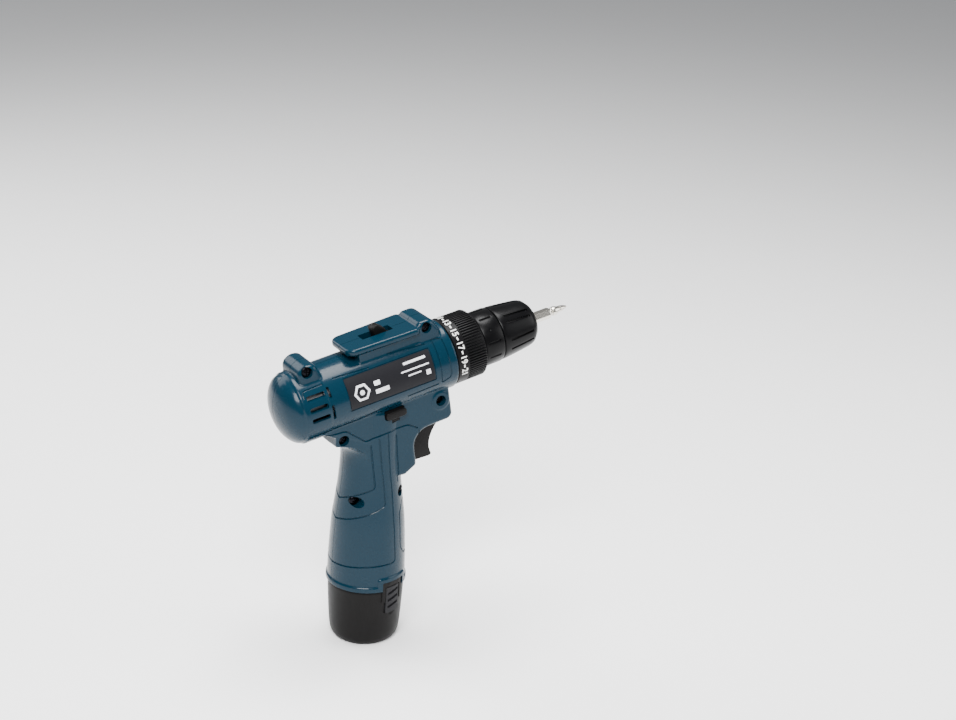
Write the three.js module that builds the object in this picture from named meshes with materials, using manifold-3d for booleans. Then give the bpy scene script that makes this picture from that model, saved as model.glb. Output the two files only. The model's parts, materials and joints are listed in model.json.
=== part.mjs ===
// A compact cordless drill driver that stands on its battery, in millimetres, +Z up.
// The origin is the middle of the battery's flat foot, and the spindle points towards +X.
// Pieces of the barrel are built along their own X axis, and the barrel is then tipped nose up.
import * as THREE from "three";
import { mergeVertices } from "three/addons/utils/BufferGeometryUtils.js";
import Module from "manifold-3d";

const wasm = await Module();
wasm.setup();

// Overall sizes
const spindleHeight = 172.5; // from the foot to where the handle's axis meets the spindle's axis
const barrelRake = THREE.MathUtils.degToRad(11.4); // the barrel's nose-up angle on its foot
const barrelRadius = 22.2;
const barrelFront = 47.2;
const barrelRear = -69;
const housingWall = 2.4;
const bellyHalf = 16.6;
const bellyRounding = 2.6;
const seamGap = 0.15; // each housing half stops this far from the middle plane

// Handle
const handleTopRadius = 18.3;
const handleWaistRadius = 18.9;
const handleWaistDepth = 56; // below the spindle crossing
const handleSwellRadius = 22.8;
const handleSwellDepth = 91;
const handleFootRadius = 24.2;
const lipRadius = 25.3;
const lipHeight = 6.5;

// Clearances
const restGap = 0.3; // between pieces that rest on or fit in each other
const slideGap = 0.4; // round a piece that slides

// Battery
const batteryHeight = 39.1; // exposed below the handle
const batteryTopRadius = 23.9;
const batteryFootRadius = 17.6;
const batteryWall = 1.0;
const stemLength = 38;
const cellLength = 65;
const buttonAngle = THREE.MathUtils.degToRad(17); // towards the front from each flank
const buttonWidth = 10.6;
const buttonHeight = 17.6;
const buttonThickness = 1.9;
const buttonTravel = 1.3;
const buttonFloor = 23; // height of the pocket's floor
const tabWidth = 16.4;
const tabHeight = 6;

// Motor
const motorGap = 1.9; // from the motor to the barrel's bore
const motorFront = 0;
const motorLength = 54;
const endCapLength = 5;
const shaftRadius = 1.6;
const canWall = 1.4;

// Planetary gears, two alike stages
const sunTeeth = 12;
const planetTeeth = 9;
const ringTeeth = 30;
const gearFace = 5;
const ringGearWall = 1.5;
const caseWall = 1.5;
const planetPinRadius = 1.6;
const carrierThickness = 2.4;
const firstStageStart = 3.4;
const secondStageStart = 19.4;
const shiftTravel = 7;

// Gearbox nose, spindle and clutch
const caseFront = 36;
const noseRadius = 11;
const noseFront = 66;
const noseWall = 2;
const spindleRadius = 5;
const bearingLength = 5;

// Torque ring
const ringStart = 47.8;
const ringEnd = 69.1;
const ringRearRadius = 21.25;
const ringFrontRadius = 20.5;
const ringWall = 2.2;

// Chuck
const rearSleeveStart = 69.8;
const sleeveJoint = 83.8;
const chuckNose = 111.4;
const rearSleeveRadius = 17.5;
const frontSleeveRadius = 17.1;
const noseEndRadius = 10.8;
const chuckBodyRadius = 12.4;
const jawWidth = 3.6;
const jawTilt = THREE.MathUtils.degToRad(14);
const bitFlats = 6.35;

// Controls
const triggerWidth = 14;
const triggerTravel = 6;
const selectorLength = 14;
const selectorReach = 20.3; // from the middle plane to each end of the selector
const screwHeadRadius = 3.1;
const screwShankRadius = 1.5;

const barrelSides = 36;
const turnSides = 32;
const fineSides = 16;

const boreRadius = barrelRadius - housingWall;
const motorRadius = boreRadius - motorGap;
const caseRadius = boreRadius - restGap;
const ringGearRadius = caseRadius - caseWall - slideGap;
const gearModule = (ringGearRadius - ringGearWall) / (ringTeeth / 2 + 1.15);
const planetOrbit = (gearModule * (sunTeeth + planetTeeth)) / 2;
const handleBore = lipRadius - housingWall - 1.9;
const stemRadius = handleBore - slideGap;
const cellSpace = stemRadius - batteryWall;
const cellRadius = (cellSpace - restGap) / (1 + 2 / Math.sqrt(3)) - restGap / 2;
const cellOrbit = (cellRadius + restGap / 2) * (2 / Math.sqrt(3));
const stemTop = batteryHeight + stemLength;

const barrelFrame = new THREE.Matrix4()
  .makeTranslation(0, 0, spindleHeight)
  .multiply(new THREE.Matrix4().makeRotationY(-barrelRake));

// Finishes
function finish(color, roughness, metalness = 0) {
  return new THREE.MeshStandardMaterial({ color, roughness, metalness });
}
const bluePlastic = finish(0x23506c, 0.42);
const blackPlastic = finish(0x1b1b1c, 0.38);
const warmBlackPlastic = finish(0x2a2523, 0.6);
const greyPlastic = finish(0x55585a, 0.6);
const plateFoil = finish(0x303236, 0.55);
const chrome = finish(0xd8d9da, 0.18, 1);
const steel = finish(0x9b9da0, 0.35, 1);
const blackSteel = finish(0x17181a, 0.3, 0.6);
const clearLens = finish(0x222a30, 0.1);
const cellWrap = finish(0x3f7a54, 0.5);
const boardGreen = finish(0x1f5a34, 0.5);
const copper = finish(0xb06a3a, 0.4, 1);

// A closed geometry as a solid for cutting and joining.
function solid(geometry, placement = new THREE.Matrix4()) {
  const loose = geometry.index ? geometry.toNonIndexed() : geometry.clone();
  const bare = new THREE.BufferGeometry();
  bare.setAttribute("position", loose.getAttribute("position"));
  bare.applyMatrix4(placement);
  const welded = mergeVertices(bare, 1e-3);
  const body = new wasm.Mesh({
    numProp: 3,
    vertProperties: welded.attributes.position.array,
    triVerts: new Uint32Array(welded.index.array),
  });
  return new wasm.Manifold(body);
}

// A solid as a geometry again.
function surface(body) {
  const mesh = body.getMesh();
  const geometry = new THREE.BufferGeometry();
  geometry.setAttribute("position", new THREE.BufferAttribute(new Float32Array(mesh.vertProperties), 3));
  geometry.setIndex(new THREE.BufferAttribute(new Uint32Array(mesh.triVerts), 1));
  geometry.computeVertexNormals();
  return geometry;
}

function part(name, geometry, material) {
  const mesh = new THREE.Mesh(geometry, material);
  mesh.name = name;
  return mesh;
}

// A profile of [radius, place along the axis] turned about X or Z.
function turned(profile, axis = "x", sides = turnSides) {
  const points = profile.map(([radius, along]) => new THREE.Vector2(radius, along));
  const geometry = new THREE.LatheGeometry(points, sides);
  return axis === "x" ? geometry.rotateZ(-Math.PI / 2) : geometry.rotateX(Math.PI / 2);
}

// A plain ring or tube between two places along X or Z.
function tube(inner, outer, start, end, axis = "x", sides = turnSides) {
  const profile = [[inner, start], [outer, start], [outer, end], [inner, end], [inner, start]];
  return turned(profile, axis, sides);
}

function rod(radius, start, end, axis = "x", sides = fineSides) {
  return turned([[0, start], [radius, start], [radius, end], [0, end]], axis, sides);
}

function block(x, y, z) {
  const geometry = new THREE.BoxGeometry(x[1] - x[0], y[1] - y[0], z[1] - z[0]);
  return geometry.translate((x[0] + x[1]) / 2, (y[0] + y[1]) / 2, (z[0] + z[1]) / 2);
}

// A cylinder that lies across the drill, along Y.
function crossRod(x, z, radius, start, end, sides = fineSides) {
  const geometry = new THREE.CylinderGeometry(radius, radius, end - start, sides);
  return geometry.translate(x, (start + end) / 2, z);
}

// A side outline in X and Z made as thick as halfWidth on each side of the middle plane.
function sidePlate(shape, halfWidth, rounding = 0, steps = 1) {
  const geometry = new THREE.ExtrudeGeometry(shape, {
    depth: 2 * (halfWidth - rounding),
    bevelEnabled: rounding > 0,
    bevelThickness: rounding,
    bevelSize: rounding,
    bevelOffset: -rounding,
    bevelSegments: steps,
    curveSegments: 3,
  });
  return geometry.translate(0, 0, -(halfWidth - rounding)).rotateX(Math.PI / 2);
}

// An outline with rounded corners, [x, y, corner radius] for each corner.
function roundedOutline(corners) {
  const shape = new THREE.Shape();
  corners.forEach(([x, y, radius], i) => {
    const here = new THREE.Vector2(x, y);
    const before = new THREE.Vector2(...corners.at(i - 1));
    const after = new THREE.Vector2(...corners[(i + 1) % corners.length]);
    const into = before.sub(here).setLength(radius).add(here);
    const out = after.sub(here).setLength(radius).add(here);
    if (i === 0) shape.moveTo(into.x, into.y);
    else shape.lineTo(into.x, into.y);
    if (radius > 0) shape.quadraticCurveTo(x, y, out.x, out.y);
  });
  shape.closePath();
  return shape;
}

// The belly that joins the barrel to the handle, with the lug above the trigger.
function bellyOutline(inset) {
  return roundedOutline([
    [-46 + inset, -10, 0],
    [-45 + inset, -barrelRadius + 5.2 + inset * 0.5, 3],
    [-33 + inset, -barrelRadius - 1.2 + inset, 4],
    [-16, -barrelRadius - 11.8, 4],
    [-12, -60 + inset, 0],
    [4, -62.6 + inset, 2],
    [12 - inset, -58.6 + inset, 2],
    [13.2 - inset, -38 + inset, 12],
    [41.6 - inset, -37.4 + inset, 4.2],
    [41.8 - inset, -10, 0],
  ]);
}

// The round fillet that carries the handle up into the barrel, as wide as the belly.
function neckFlare() {
  const flare = turned([
    [0, spindleHeight - 52],
    [handleTopRadius, spindleHeight - 52],
    [handleTopRadius + 0.3, spindleHeight - 46.5],
    [handleTopRadius + 1.8, spindleHeight - 42],
    [handleTopRadius + 5, spindleHeight - 38],
    [handleTopRadius + 10, spindleHeight - 35.2],
    [handleTopRadius + 17, spindleHeight - 33.4],
    [handleTopRadius + 17, spindleHeight - 22],
    [0, spindleHeight - 22],
  ], "z", 32);
  return solid(flare).intersect(solid(block([-33, 4], [-bellyHalf, bellyHalf], [0, spindleHeight])));
}

function handleRadiusProfile() {
  const seam = batteryHeight + restGap;
  return [
    [0, seam],
    [lipRadius, seam],
    [lipRadius, seam + lipHeight - 0.8],
    [handleFootRadius + 0.1, seam + lipHeight],
    [handleFootRadius - 0.2, spindleHeight - 115],
    [handleSwellRadius, spindleHeight - handleSwellDepth],
    [(handleSwellRadius + handleWaistRadius) / 2 - 0.5, spindleHeight - 72],
    [handleWaistRadius, spindleHeight - handleWaistDepth],
    [handleTopRadius, spindleHeight - 46],
    [handleTopRadius, spindleHeight - 16],
    [0, spindleHeight - 16],
  ];
}

const screwPlaces = [
  { name: "housing_screw_rear_top", x: -46.4, z: barrelRadius + 2.7, face: 11.4 },
  { name: "housing_screw_front_top", x: 33.4, z: barrelRadius + 4.2, face: 11.4 },
  { name: "housing_screw_front_low", x: 34.3, z: -boreRadius - 2, face: 14 },
  { name: "housing_screw_rear_low", x: -32.4, z: -boreRadius - 4.4, face: 14 },
  { name: "housing_screw_mid_handle", x: -29.6, z: -69.6, face: 10.4 },
  { name: "housing_screw_front_handle", x: 0, z: -72.6, face: 11.4 },
];

function joinAll(bodies) {
  return bodies.reduce((whole, body) => whole.add(body));
}

function cutAll(body, cuts) {
  return cuts.reduce((rest, cut) => rest.subtract(cut), body);
}

const barrelSolid = (geometry) => solid(geometry, barrelFrame);

function barrelShell() {
  const r = barrelRadius;
  return barrelSolid(turned([
    [0, barrelRear],
    [r * 0.36, barrelRear + 0.7],
    [r * 0.66, barrelRear + 2.9],
    [r * 0.88, barrelRear + 6.6],
    [r * 0.975, barrelRear + 10.6],
    [r * 0.99, barrelRear + 13.4],
    [r, barrelRear + 16],
    [r, barrelFront],
    [0, barrelFront],
  ], "x", barrelSides));
}

const podTop = barrelRadius + 6.4;
const podShape = roundedOutline([[-18.5, -13, 5], [30, -13, 3], [30, 13, 3], [-18.5, 13, 5]]);

// The raised pod round the speed slider, with its undercut rear end.
function sliderPod() {
  const top = new THREE.ExtrudeGeometry(podShape, {
    depth: 2.6,
    bevelThickness: 1.6,
    bevelSize: 1.6,
    bevelOffset: -1.6,
    bevelSegments: 1,
    curveSegments: 3,
  });
  top.translate(0, 0, podTop - 4.2);
  const root = block([-13, 30], [-11, 11], [barrelRadius - 8, podTop - 3]);
  return barrelSolid(top).add(barrelSolid(root));
}

// The two humps on top that hold the upper screws.
function topHumps() {
  const rear = roundedOutline([
    [-52.4, 12, 0],
    [-52.4, barrelRadius + 3.8, 4],
    [-47.4, barrelRadius + 6.7, 0],
    [-40, barrelRadius + 6.2, 4],
    [-36, 16, 0],
  ]);
  const front = roundedOutline([
    [27, 14, 0],
    [27.4, barrelRadius + 8.4, 3],
    [38.6, barrelRadius + 8.4, 3],
    [42.2, barrelRadius + 1.8, 0],
    [42.6, 14, 0],
  ]);
  return barrelSolid(sidePlate(rear, 13, 2)).add(barrelSolid(sidePlate(front, 13, 2)));
}

function ventCuts() {
  const flat = [0, 1, 2].map((row) => block([-52, -40], [-30, 30], [10.2 - row * 6.6, 13.2 - row * 6.6]));
  const upright = [
    block([-38.4, -36.7], [-30, 30], [8.6, 14.2]),
    block([-38.4, -36.7], [-30, 30], [-5, 3.8]),
  ];
  return [...flat, ...upright].map(barrelSolid);
}

// The space inside: the barrel's bore, the belly and the handle's bore.
function housingCavity() {
  const bore = turned([
    [0, barrelRear + housingWall + 2],
    [boreRadius * 0.8, barrelRear + housingWall + 4],
    [boreRadius, barrelRear + housingWall + 9],
    [boreRadius, barrelFront + 5],
    [0, barrelFront + 5],
  ], "x", barrelSides);
  const handle = turned([
    [0, batteryHeight - 5],
    [handleBore, batteryHeight - 5],
    [handleBore, stemTop + 2],
    [handleWaistRadius - housingWall - 0.6, spindleHeight - 74],
    [handleTopRadius - housingWall, spindleHeight - 48],
    [handleTopRadius - housingWall, spindleHeight - 16],
    [0, spindleHeight - 16],
  ], "z");
  return joinAll([
    barrelSolid(bore),
    barrelSolid(sidePlate(bellyOutline(housingWall), bellyHalf - housingWall)),
    solid(handle),
  ]);
}

// Screw posts that cross the cavity, clear of what is inside.
function screwPosts() {
  const radius = screwHeadRadius + 1.1;
  return screwPlaces.map(({ x, z, face }) => barrelSolid(crossRod(x, z, radius, -face, face, 10)));
}

// Round recesses for the screw heads and holes for their shanks.
function screwCuts() {
  return screwPlaces.flatMap(({ x, z, face }) => [
    crossRod(x, z, screwHeadRadius + restGap, -40, -face + 2.6, 12),
    crossRod(x, z, screwShankRadius + restGap, -face, 6.6, 8),
  ]).map(barrelSolid);
}

const selectorX = [-4.5, -4.5 + selectorLength];
const selectorZ = [-boreRadius - 0.8, -boreRadius + 4.2];
const selectorBarX = [0, 5];
const selectorBarZ = [-boreRadius - 3.9, -boreRadius - slideGap];

function grow(range, gap) {
  return [range[0] - gap, range[1] + gap];
}

const triggerSlotZ = [-60.7, -39.6];
const sliderSlotX = [-4, 16];
const sliderSlotHalf = 3.6;
const forkX = [secondStageStart + 1.2, secondStageStart + 3.8];
const lensPlace = { x: 39, z: -31.6, radius: 3.6 };
const nameplate = { x: [-27, 31], z: [-4, 15], sink: 0.7, thickness: 0.5 };

// A slab that follows the barrel's right side between two radii.
function sideSlab(inner, outer, x, z) {
  const ring = barrelSolid(tube(inner, outer, x[0], x[1], "x", barrelSides));
  return ring.intersect(barrelSolid(block([x[0] - 1, x[1] + 1], [-40, 0], z)));
}

function controlCuts() {
  const half = triggerWidth / 2 + slideGap;
  return [
    barrelSolid(block([2, 34], [-half, half], triggerSlotZ)),
    barrelSolid(block(grow(selectorX, slideGap), [-30, 30], grow(selectorZ, slideGap))),
    barrelSolid(block(grow(selectorBarX, slideGap), [-30, 30], grow(selectorBarZ, slideGap))),
    barrelSolid(block(sliderSlotX, [-sliderSlotHalf, sliderSlotHalf], [barrelRadius - 6, podTop + 5])),
    barrelSolid(
      block([sliderSlotX[0], forkX[1] + slideGap], [-2.4, 2.4], [barrelRadius - 6, podTop - 4.8]),
    ),
    barrelSolid(
      rod(lensPlace.radius + restGap, lensPlace.x - 8, lensPlace.x + 8).translate(0, 0, lensPlace.z),
    ),
    sideSlab(
      barrelRadius - nameplate.sink,
      barrelRadius + 2,
      grow(nameplate.x, restGap),
      grow(nameplate.z, restGap),
    ),
  ];
}

// The direction out of each flank in which a release button faces; side is -1 or 1.
function buttonFrame(side) {
  return new THREE.Matrix4().makeRotationZ(side * (Math.PI / 2 - buttonAngle));
}

function tabNotches() {
  const half = tabWidth / 2 + restGap;
  const notch = block([handleBore - 3, 40], [-half, half], [0, batteryHeight + tabHeight + restGap]);
  return [-1, 1].map((side) => solid(notch, buttonFrame(side)));
}

function housingHalves() {
  const outside = joinAll([
    barrelShell(),
    solid(turned(handleRadiusProfile(), "z", 36)),
    barrelSolid(sidePlate(bellyOutline(0), bellyHalf, bellyRounding)),
    neckFlare(),
    sliderPod(),
    topHumps(),
  ]);
  const posts = joinAll(screwPosts()).intersect(outside);
  const shell = outside.subtract(housingCavity()).add(posts);
  const clearOfInsides = [
    barrelSolid(rod(boreRadius, barrelRear + 12, barrelFront + 5, "x", barrelSides)),
    solid(rod(handleBore, 0, stemTop + 2, "z")),
    barrelSolid(block([-23, 16], [-9.6, 9.6], [-60.7, -27])),
  ];
  const openings = [...ventCuts(), ...screwCuts(), ...controlCuts(), ...tabNotches()];
  const whole = cutAll(shell, [...clearOfInsides, ...openings]);
  const right = whole.subtract(solid(block([-200, 200], [-seamGap, 200], [-50, 400])));
  const left = whole.subtract(solid(block([-200, 200], [-200, seamGap], [-50, 400])));
  return [
    part("housing_right", surface(largest(right)), bluePlastic),
    part("housing_left", surface(largest(left)), bluePlastic),
  ];
}

// The biggest of the bodies that a cut leaves.
function largest(body) {
  const pieces = body.decompose();
  return pieces.sort((a, b) => b.volume() - a.volume())[0];
}

function housingScrew({ name, x, z, face }) {
  const head = crossRod(x, z, screwHeadRadius, -face - 0.2, -face + 2.2, 12);
  const shank = crossRod(x, z, screwShankRadius, -face + 2, 6, 8);
  const socket = crossRod(x, z, 1.3, -face - 1, -face + 1, 6);
  return part(name, surface(solid(head).add(solid(shank)).subtract(solid(socket))), blackSteel);
}

function namePlate() {
  const inner = barrelRadius - nameplate.sink + 0.15;
  const outer = inner + nameplate.thickness;
  const ring = solid(tube(inner, outer, nameplate.x[0], nameplate.x[1], "x", barrelSides));
  const window = solid(block([-60, 60], [-40, 0], nameplate.z));
  return part("name_plate", surface(ring.intersect(window)), plateFoil);
}

// Motor
const motorRear = motorFront - motorLength;

function motorCan() {
  const outer = rod(motorRadius, motorRear, motorFront, "x", 36);
  const inner = rod(motorRadius - canWall, motorRear - 1, motorFront - canWall, "x", 36);
  const hole = rod(4, motorFront - 4, motorFront + 4);
  return part("motor_can", surface(solid(outer).subtract(solid(inner)).subtract(solid(hole))), steel);
}

function motorEndCap() {
  const start = motorRear - restGap - endCapLength;
  const cap = tube(shaftRadius + 0.8, motorRadius - 0.4, start, start + endCapLength);
  return part("motor_end_cap", cap, warmBlackPlastic);
}

function armature() {
  const core = motorRadius - canWall - 2.6;
  return part("armature", turned([
    [0, motorRear - endCapLength - 2],
    [shaftRadius, motorRear - endCapLength - 2],
    [shaftRadius, motorRear + 3],
    [core * 0.4, motorRear + 3],
    [core * 0.4, motorRear + 9],
    [core, motorRear + 11],
    [core, motorFront - 9],
    [core * 0.5, motorFront - 6],
    [shaftRadius, motorFront - 6],
    [shaftRadius, firstStageStart - 0.8],
    [0, firstStageStart - 0.8],
  ], "x", 24), copper);
}

// Corners of one gear tooth, seen from the gear's middle.
function toothCorners(count, index, rootRadius, tipRadius, phase) {
  const pitch = (2 * Math.PI) / count;
  const middle = index * pitch + phase;
  const corners = [[rootRadius, -0.27], [tipRadius, -0.12], [tipRadius, 0.12], [rootRadius, 0.27]];
  return corners.map(([radius, share]) => {
    const angle = middle + share * pitch;
    return new THREE.Vector2(radius * Math.cos(angle), radius * Math.sin(angle));
  });
}

function gearOutline(teeth, phase = 0, inward = false) {
  const pitchRadius = (gearModule * teeth) / 2;
  const root = pitchRadius + (inward ? 1.15 : -1.15) * gearModule;
  const tip = pitchRadius + (inward ? -0.85 : 0.85) * gearModule;
  const points = [];
  for (let i = 0; i < teeth; i += 1) points.push(...toothCorners(teeth, i, root, tip, phase));
  return points;
}

function extrudeAlongX(shape, start, length, sides = 4) {
  const settings = { depth: length, bevelEnabled: false, curveSegments: sides };
  return new THREE.ExtrudeGeometry(shape, settings).translate(0, 0, start).rotateY(Math.PI / 2);
}

function ringGear(name, start, length) {
  const shape = new THREE.Shape().absarc(0, 0, ringGearRadius, 0, 2 * Math.PI);
  shape.holes.push(new THREE.Path(gearOutline(ringTeeth, Math.PI / ringTeeth, true)));
  return part(name, extrudeAlongX(shape, start, length, 10), steel);
}

function planetPlace(index) {
  const angle = (index * 2 * Math.PI) / 3;
  return { angle, y: planetOrbit * Math.sin(angle), z: -planetOrbit * Math.cos(angle) };
}

function planetGear(name, index, start) {
  const { angle, y, z } = planetPlace(index);
  const shape = new THREE.Shape(gearOutline(planetTeeth, angle));
  shape.holes.push(new THREE.Path().absarc(0, 0, planetPinRadius + 0.2, 0, 2 * Math.PI));
  return part(name, extrudeAlongX(shape, start, gearFace, 5).translate(0, y, z), steel);
}

function sunGear(start, length) {
  return extrudeAlongX(new THREE.Shape(gearOutline(sunTeeth)), start, length);
}

function pinion() {
  const gear = solid(sunGear(firstStageStart - 0.4, gearFace + 0.3));
  return part("pinion", surface(gear), steel);
}

// A carrier plate with three planet pins on its rear face.
function carrierSolid(stageStart) {
  const plateStart = stageStart + gearFace + restGap;
  const plateRadius = gearModule * (ringTeeth / 2 - 1.6);
  const plate = solid(rod(plateRadius, plateStart, plateStart + carrierThickness, "x", 30));
  const pins = [0, 1, 2].map((index) => {
    const { y, z } = planetPlace(index);
    return solid(rod(planetPinRadius, stageStart, plateStart + 1, "x", 10).translate(0, y, z));
  });
  return { body: joinAll([plate, ...pins]), front: plateStart + carrierThickness };
}

function firstCarrier() {
  const { body, front } = carrierSolid(firstStageStart);
  const sun = solid(sunGear(front - 0.5, secondStageStart + gearFace - front + 0.3));
  return part("first_carrier", surface(body.add(sun)), steel);
}

function spindle() {
  const { body, front } = carrierSolid(secondStageStart);
  const shaft = solid(rod(spindleRadius, front - 0.5, rearSleeveStart + 9));
  return part("spindle", surface(body.add(shaft)), steel);
}

function bearing(name, start) {
  const outer = noseRadius - noseWall - restGap;
  return part(name, tube(spindleRadius + 0.08, outer, start, start + bearingLength, "x", 24), steel);
}

function gearboxCase() {
  const inner = caseRadius - caseWall;
  const bearingSeat = noseRadius - noseWall;
  return part("gearbox_case", turned([
    [inner, firstStageStart - 1],
    [caseRadius, firstStageStart - 1],
    [caseRadius, caseFront],
    [noseRadius, caseFront],
    [noseRadius, noseFront],
    [bearingSeat, noseFront],
    [bearingSeat, caseFront - 2],
    [inner, caseFront - 2],
    [inner, firstStageStart - 1],
  ]), blackPlastic);
}

// A gearbox with a slot on top for the shift fork.
function slottedGearbox() {
  const whole = gearboxCase();
  const slot = block([secondStageStart - shiftTravel - 3, secondStageStart + 8], [-4, 4], [10, 30]);
  whole.geometry = surface(solid(whole.geometry).subtract(solid(slot)));
  return whole;
}

// A coil of round wire about the X axis.
class Coil extends THREE.Curve {
  constructor(radius, start, length, turns) {
    super();
    Object.assign(this, { radius, start, length, turns });
  }
  getPoint(t, target = new THREE.Vector3()) {
    const angle = 2 * Math.PI * this.turns * t;
    const [y, z] = [this.radius * Math.cos(angle), this.radius * Math.sin(angle)];
    return target.set(this.start + this.length * t, y, z);
  }
}

function coilSpring(name, radius, wire, start, length, turns) {
  const path = new Coil(radius, start + wire, length - 2 * wire, turns);
  const section = new THREE.Shape().absarc(0, 0, wire, 0, 2 * Math.PI);
  const settings = { steps: turns * 8, extrudePath: path, curveSegments: 3 };
  return part(name, new THREE.ExtrudeGeometry(section, settings), steel);
}

// Torque ring and the clutch it presses
const clutchInner = noseRadius + slideGap;

function torqueRing() {
  const inner = ringRearRadius - ringWall;
  return part("torque_ring", turned([
    [inner, ringStart],
    [ringRearRadius, ringStart],
    [ringRearRadius - 0.1, ringStart + 6],
    [ringFrontRadius, ringEnd - 1],
    [ringFrontRadius - 1, ringEnd],
    [clutchInner, ringEnd],
    [clutchInner, ringEnd - 2.6],
    [inner, ringEnd - 2.6],
    [inner, ringStart],
  ], "x", 36), blackPlastic);
}

function clutchParts() {
  const inner = ringRearRadius - ringWall;
  const nutEnd = ringEnd - 2.6 - restGap;
  return [
    part("clutch_washer", tube(clutchInner, inner - 2, ringStart + 1, ringStart + 2.4, "x", 24), steel),
    coilSpring("clutch_spring", noseRadius + 3, 0.9, ringStart + 2.8, 10.4, 4),
    part("adjusting_nut", tube(clutchInner, inner - slideGap, nutEnd - 3.4, nutEnd, "x", 24), greyPlastic),
  ];
}

// Chuck
const jawSlopeStart = 88;
const jawLength = 18;
const jawReach = 111;

// One jaw's slanted bar before its tip is trimmed, in the plane of Z; angle turns it about the spindle.
function jawBar(angle, gap, extra) {
  const half = jawWidth / 2 + gap;
  const bar = block([-jawLength - extra, 6], [-half, half], [-half, half]);
  bar.rotateY(jawTilt).translate(jawReach - 4, 0, bitFlats / 2 + jawWidth / 2 - 0.6);
  return bar.rotateX(angle);
}

const jawAngles = [0, 1, 2].map((index) => (index * 2 * Math.PI) / 3);

function jaw(name, angle) {
  const bar = solid(jawBar(angle, 0, 0));
  const clear = solid(rod(bitFlats / Math.sqrt(3) + restGap, 60, 140, "x", 24));
  const front = solid(block([jawReach, 150], [-30, 30], [-30, 30]));
  return part(name, surface(bar.subtract(clear).subtract(front)), steel);
}

function chuckBody() {
  const core = solid(turned([
    [0, rearSleeveStart + 0.6],
    [chuckBodyRadius, rearSleeveStart + 0.6],
    [chuckBodyRadius, chuckNose - 12],
    [noseEndRadius - 2.4, chuckNose - 0.6],
    [0, chuckNose - 0.6],
  ], "x", 32));
  const bore = solid(rod(bitFlats / Math.sqrt(3) + 0.5, jawSlopeStart - 8, 130, "x", 24));
  const socket = solid(rod(spindleRadius + restGap, 60, rearSleeveStart + 9.4));
  const channels = jawAngles.map((angle) => solid(jawBar(angle, slideGap, 9)));
  return part("chuck_body", surface(cutAll(core, [bore, socket, ...channels])), blackSteel);
}

function chuckRearSleeve() {
  const inner = chuckBodyRadius + restGap;
  return part("chuck_rear_sleeve", turned([
    [inner, rearSleeveStart],
    [rearSleeveRadius - 0.8, rearSleeveStart],
    [rearSleeveRadius, rearSleeveStart + 1.6],
    [rearSleeveRadius - 0.2, sleeveJoint - 0.5],
    [rearSleeveRadius - 0.9, sleeveJoint - 0.15],
    [inner, sleeveJoint - 0.15],
    [inner, rearSleeveStart],
  ]), blackPlastic);
}

function chuckFrontSleeve() {
  const inner = chuckBodyRadius + slideGap;
  const length = chuckNose - sleeveJoint;
  return part("chuck_front_sleeve", turned([
    [inner, sleeveJoint + 0.15],
    [frontSleeveRadius - 0.6, sleeveJoint + 0.15],
    [frontSleeveRadius, sleeveJoint + 0.8],
    [frontSleeveRadius - 0.1, sleeveJoint + length * 0.14],
    [frontSleeveRadius * 0.945, sleeveJoint + length * 0.48],
    [frontSleeveRadius * 0.885, sleeveJoint + length * 0.78],
    [frontSleeveRadius * 0.835, sleeveJoint + length * 0.88],
    [noseEndRadius + 0.4, chuckNose - 0.4],
    [noseEndRadius, chuckNose],
    [noseEndRadius - 1.6, chuckNose],
    [inner, chuckNose - 12],
    [inner, sleeveJoint + 0.15],
  ]), blackPlastic);
}

function screwBit() {
  const shankStart = chuckNose - 22;
  const apex = bitFlats / Math.sqrt(3);
  const hex = solid(rod(apex, shankStart, 127, "x", 6));
  const end = solid(turned([
    [0, 126],
    [2.2, 126.6],
    [2.2, 128.6],
    [2.9, 129.4],
    [2.9, 131.2],
    [2, 132.4],
    [1.9, 136],
    [0.7, 140.2],
    [0, 140.4],
  ], "x", 16));
  const flutes = [0, 1, 2, 3].map((quarter) => {
    const flute = block([134.6, 150], [0.5, 4], [0.5, 4]).rotateX((quarter * Math.PI) / 2);
    return solid(flute);
  });
  return part("screwdriver_bit", surface(cutAll(hex.add(end), flutes)), chrome);
}

// Speed slider and the fork that shifts the second ring gear
const sliderPlateX = [sliderSlotX[0] + shiftTravel + 0.5, sliderSlotX[1] - slideGap];

function speedSlider() {
  const plateHalf = sliderSlotHalf - slideGap;
  const plate = block(sliderPlateX, [-plateHalf, plateHalf], [podTop - 5, podTop - 2.6]);
  const fin = roundedOutline([
    [3.2, podTop - 3, 0],
    [3.6, podTop + 3.6, 1],
    [6, podTop + 5.2, 1.2],
    [11, podTop - 3, 0],
  ]);
  return part("speed_slider", surface(solid(plate).add(solid(sidePlate(fin, 3, 0.6, 1)))), blackPlastic);
}

function shiftFork() {
  const stem = block([4, forkX[1]], [-2, 2], [podTop - 7.4, podTop - 5.3]);
  const leg = block(forkX, [-2, 2], [ringGearRadius + restGap, podTop - 5.6]);
  return part("shift_fork", surface(solid(stem).add(solid(leg))), steel);
}

// Trigger and its switch
const plungerX = [-2, 11];
const plungerZ = -50;

function trigger() {
  const shape = roundedOutline([
    [11, -60.3, 0],
    [24, -61.4, 0],
    [27.4, -60.2, 0],
    [24.4, -54.5, 4],
    [26.4, -46, 4],
    [36.2, -40, 0],
    [11, -40, 0],
  ]);
  return part("trigger", sidePlate(shape, triggerWidth / 2, 1.2), warmBlackPlastic);
}

function triggerPlunger() {
  const plunger = rod(2, plungerX[0], plungerX[1] - restGap).translate(0, 0, plungerZ);
  return part("trigger_plunger", plunger, greyPlastic);
}

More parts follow.
